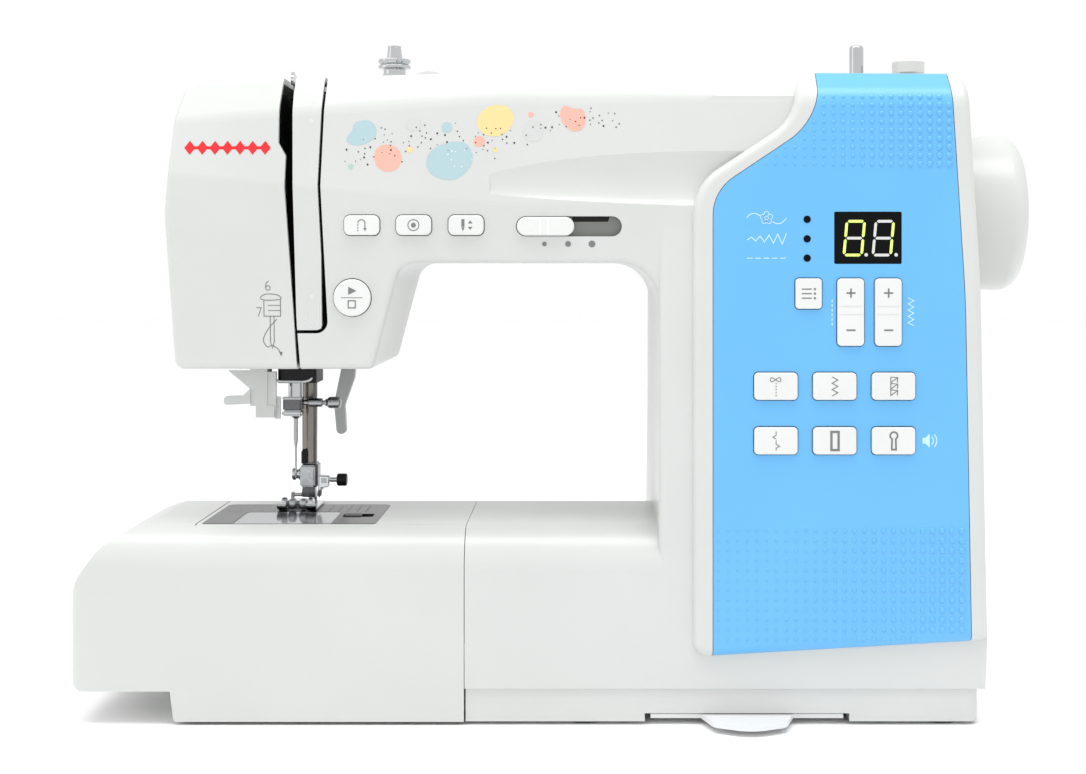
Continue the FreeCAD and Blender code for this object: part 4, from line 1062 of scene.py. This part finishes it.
def ankle():
    """The foot holder: a pale block on the bar, a screw head to its left, and a bracket with a black knob."""
    low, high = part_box("foot_holder")
    x, y = low[0] / MM, low[1] / MM
    top = high[2] / MM
    bar = "presser_bar"
    block = box_outline(x, x + 6.8, 92.2, top + 1.6)
    shell = box_outline(x + 0.6, x + 8.0, 91.6, top + 2.6)
    neck = [(x + 0.4, 87.4), (x + 7.0, 87.0), (x + 6.6, 92.4), (x + 1.0, 92.4)]
    bracket = [
        (x + 7.4, 86.9), (x + 9.4, 86.9), (x + 9.8, 91.0), (x + 13.2, 91.6), (x + 13.6, 97.2),
        (x + 8.0, 97.4), (x + 7.8, 92.0),
    ]
    eye = box_outline(x + 9.2, x + 12.2, 93.4, 96.0)
    parts = [
        slab("holder_block", block, y, 8.0, PEARL, bar, 0.6),
        slab("holder_shell", shell, y + 2.4, 9.0, DARK_STEEL, bar, 0.8),
        slab("holder_neck", neck, y + 1.4, 6.0, DARK_STEEL, bar, 0.4),
        slab("holder_bracket", bracket, y + 2.8, 3.4, CHROME, bar, 0.7),
        slab("holder_eye", eye, y + 2.5, 0.8, PEARL, bar, 0.35),
    ]
    for part in parts:
        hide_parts("foot_holder")
    rod = [(0, 1.1), (3.4, 1.1), (3.45, 1.7), (4.2, 1.7)]
    lathe("holder_rod", rod, (x + 13.0, y + 4.4, 95.0), CHROME, bar, segments=24)
    knob = bowed(0, 4.6, 2.9, 0.7)
    lathe("holder_knob", knob, (x + 16.6, y + 4.4, 95.0), BLACK, bar, segments=28)
    post = [(0, 1.4), (5.2, 1.4), (6.6, 0.7), (6.8, 0.0001)]
    lathe("holder_post", post, (x + 1.6, y + 3.0, top + 2.4), BLACK, bar, "z", 24)
    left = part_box("foot_screw")[0][0] / MM - 0.4
    head = bowed(0, 2.3, 3.0, 1.2) + [(2.35, 2.2), (3.1, 2.2)] + bowed(3.15, 4.4, 2.8, 0.4)
    screw = lathe("foot_screw_head", head, (left, 3.0, 97.4), CHROME, "foot_screw")
    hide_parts("foot_screw")


def ski(name, x0, x1, heel, toe, base, rise=3.4, gauge=1.2, curl=6.0):
    """A sole that curls up at the toe, between two planes across X; toe is the end nearer the front."""
    path = [(heel, 0.0), (toe + curl, 0.0)]
    path += [(toe + curl * (1 - math.sin(t)), rise * (1 - math.cos(t))) for t in (0.4, 0.75, 1.1, 1.4)]
    lower = [(y, base + z) for y, z in path]
    upper = [(y + 0.35 * (i > 2), base + z + gauge) for i, (y, z) in enumerate(path)]
    outline = lower + upper[::-1]
    verts, faces = prism(*([Vector((x, y, z)) * MM for y, z in outline] for x in (x0, x1)))
    obj = piece(name, verts, faces, CHROME, "presser_foot", False)
    mesh = bmesh.new()
    mesh.from_mesh(obj.data)
    bmesh.ops.recalc_face_normals(mesh, faces=mesh.faces)
    soften(mesh, 0.3, 2)
    mesh.to_mesh(obj.data)
    mesh.free()
    return obj


def foot():
    """The zigzag foot: two curled toes, pale rollers between them, a bridge and its pin."""
    low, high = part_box("presser_foot")
    x0, x1 = low[0] / MM + 1.2, high[0] / MM + 0.9
    toe, heel, base = low[1] / MM, high[1] / MM, low[2] / MM
    middle = (x0 + x1) / 2
    sides = ((-1, "left"), (1, "right"))
    bridge = box_outline(x0 + 3.4, x1 - 3.4, base + 0.2, base + 2.4)
    parts = [
        ski("toe_left", x0, x0 + 4.2, heel, toe, base),
        ski("toe_right", x1 - 4.6, x1, heel, toe, base),
        slab("foot_bridge", bridge, -1.0, 10.5, CHROME, "presser_foot", 0.4),
    ]
    roller = bowed(0, 3.7, 2.5, 1.4, 8)
    boss = bowed(0, 2.6, 2.9, 0.8)
    for side, name in sides:
        place = (middle + side * 2.5 - 1.85, toe + 5.6, base + 2.7)
        parts.append(lathe(f"roller_{name}", roller, place, PEARL, "presser_foot"))
        place = (middle + side * 6.0 - 1.3, toe + 5.2, base + 3.0)
        parts.append(lathe(f"toe_boss_{name}", boss, place, CHROME, "presser_foot"))
    pin, place = [(0, 0.9), (11.8, 0.9)], (middle - 5.9, 4.6, base + 4.6)
    parts.append(lathe("foot_pin", pin, place, CHROME, "presser_foot", segments=20))
    for side, name in sides:
        x = middle + side * 5.2
        post = box_outline(x - 0.8, x + 0.8, base + 1.0, base + 6.0)
        parts.append(slab(f"foot_post_{name}", post, 2.6, 4.2, CHROME, "presser_foot", 0.4))
    for part in parts:
        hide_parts("presser_foot")


needle_clamp()
guide_lip()
ankle()
foot()


# Needle plate --------------------------------------------------------------------------------------

def plate_marks():
    """Seam guide lines engraved in the needle plate."""
    s = Sheet(surface_of("needle_plate"), DOWN)
    front_rows = [(-153.0 + 5.0 * k, 0.14, -16.0, -12.6) for k in range(6)]
    right_rows = [(-107.5 + 4.2 * k, 0.15, -18.5, 1.5) for k in range(5)]
    left_rows = [(-154.5 + 3.4 * k, 0.12, -2.5, 1.5) for k in range(6)]
    for x, half, near, far in front_rows + right_rows + left_rows:
        s.bar(x - half, near, x + half, far)
    s.bar(-155.5, -17.2, -146.0, -16.9)
    s.make("plate_lines", INK_BLACK)


plate_marks()


# Stage -------------------------------------------------------------------------------------------

# Each light: name, place, aim, width and height in metres, and watts.
LIGHTS = [
    ("key_above", (-0.05, -0.3, 1.2), (0, -0.05, 0.15), 1.5, 0.5, 10.9),
    ("fill_left", (-1.3, -0.4, 0.4), (0, 0, 0.15), 0.7, 0.9, 1.0),
]
FLOOR_REACH = 6.0  # metres
CAMERA_PLACE = (0.00785, -0.792, 0.1943)  # metres


def studio():
    """Floor, soft lights, sky and camera."""
    scene = bpy.context.scene
    reach = FLOOR_REACH
    mesh = bpy.data.meshes.new("floor")
    sheet = [(-reach, -reach, 0), (reach, -reach, 0), (reach, reach, 0), (-reach, reach, 0)]
    mesh.from_pydata(sheet, [], [[0, 1, 2, 3]])
    floor = bpy.data.objects.new("floor", mesh)
    scene.collection.objects.link(floor)
    paper = plastic("floor_white", (1.0, 1.0, 1.0), 0.7, grain=300.0, depth=0.00001, drift=0.99)
    mesh.materials.append(paper)

    world = bpy.data.worlds.new("studio")
    scene.world = world
    world.use_nodes = True
    sky = world.node_tree.nodes["Background"]
    sky.inputs["Color"].default_value = (1, 1, 1, 1)
    sky.inputs["Strength"].default_value = 1.0

    for name, place, aim, width, height, power in LIGHTS:
        light = bpy.data.lights.new(name, "AREA")
        light.shape = "RECTANGLE"
        light.size, light.size_y = width, height
        light.energy = power
        lamp = bpy.data.objects.new(name, light)
        lamp.location = place
        lamp.rotation_euler = (Vector(aim) - Vector(place)).to_track_quat("-Z", "Y").to_euler()
        scene.collection.objects.link(lamp)

    camera = bpy.data.objects.new("camera", bpy.data.cameras.new("camera"))
    camera.data.sensor_width = 36.0
    camera.data.lens = 56.8
    camera.data.shift_x = -0.0378
    camera.data.shift_y = -0.1123
    camera.location = CAMERA_PLACE
    camera.rotation_euler = (math.radians(90), 0, 0)
    scene.collection.objects.link(camera)
    scene.camera = camera
    scene.view_settings.view_transform = "Standard"


studio()
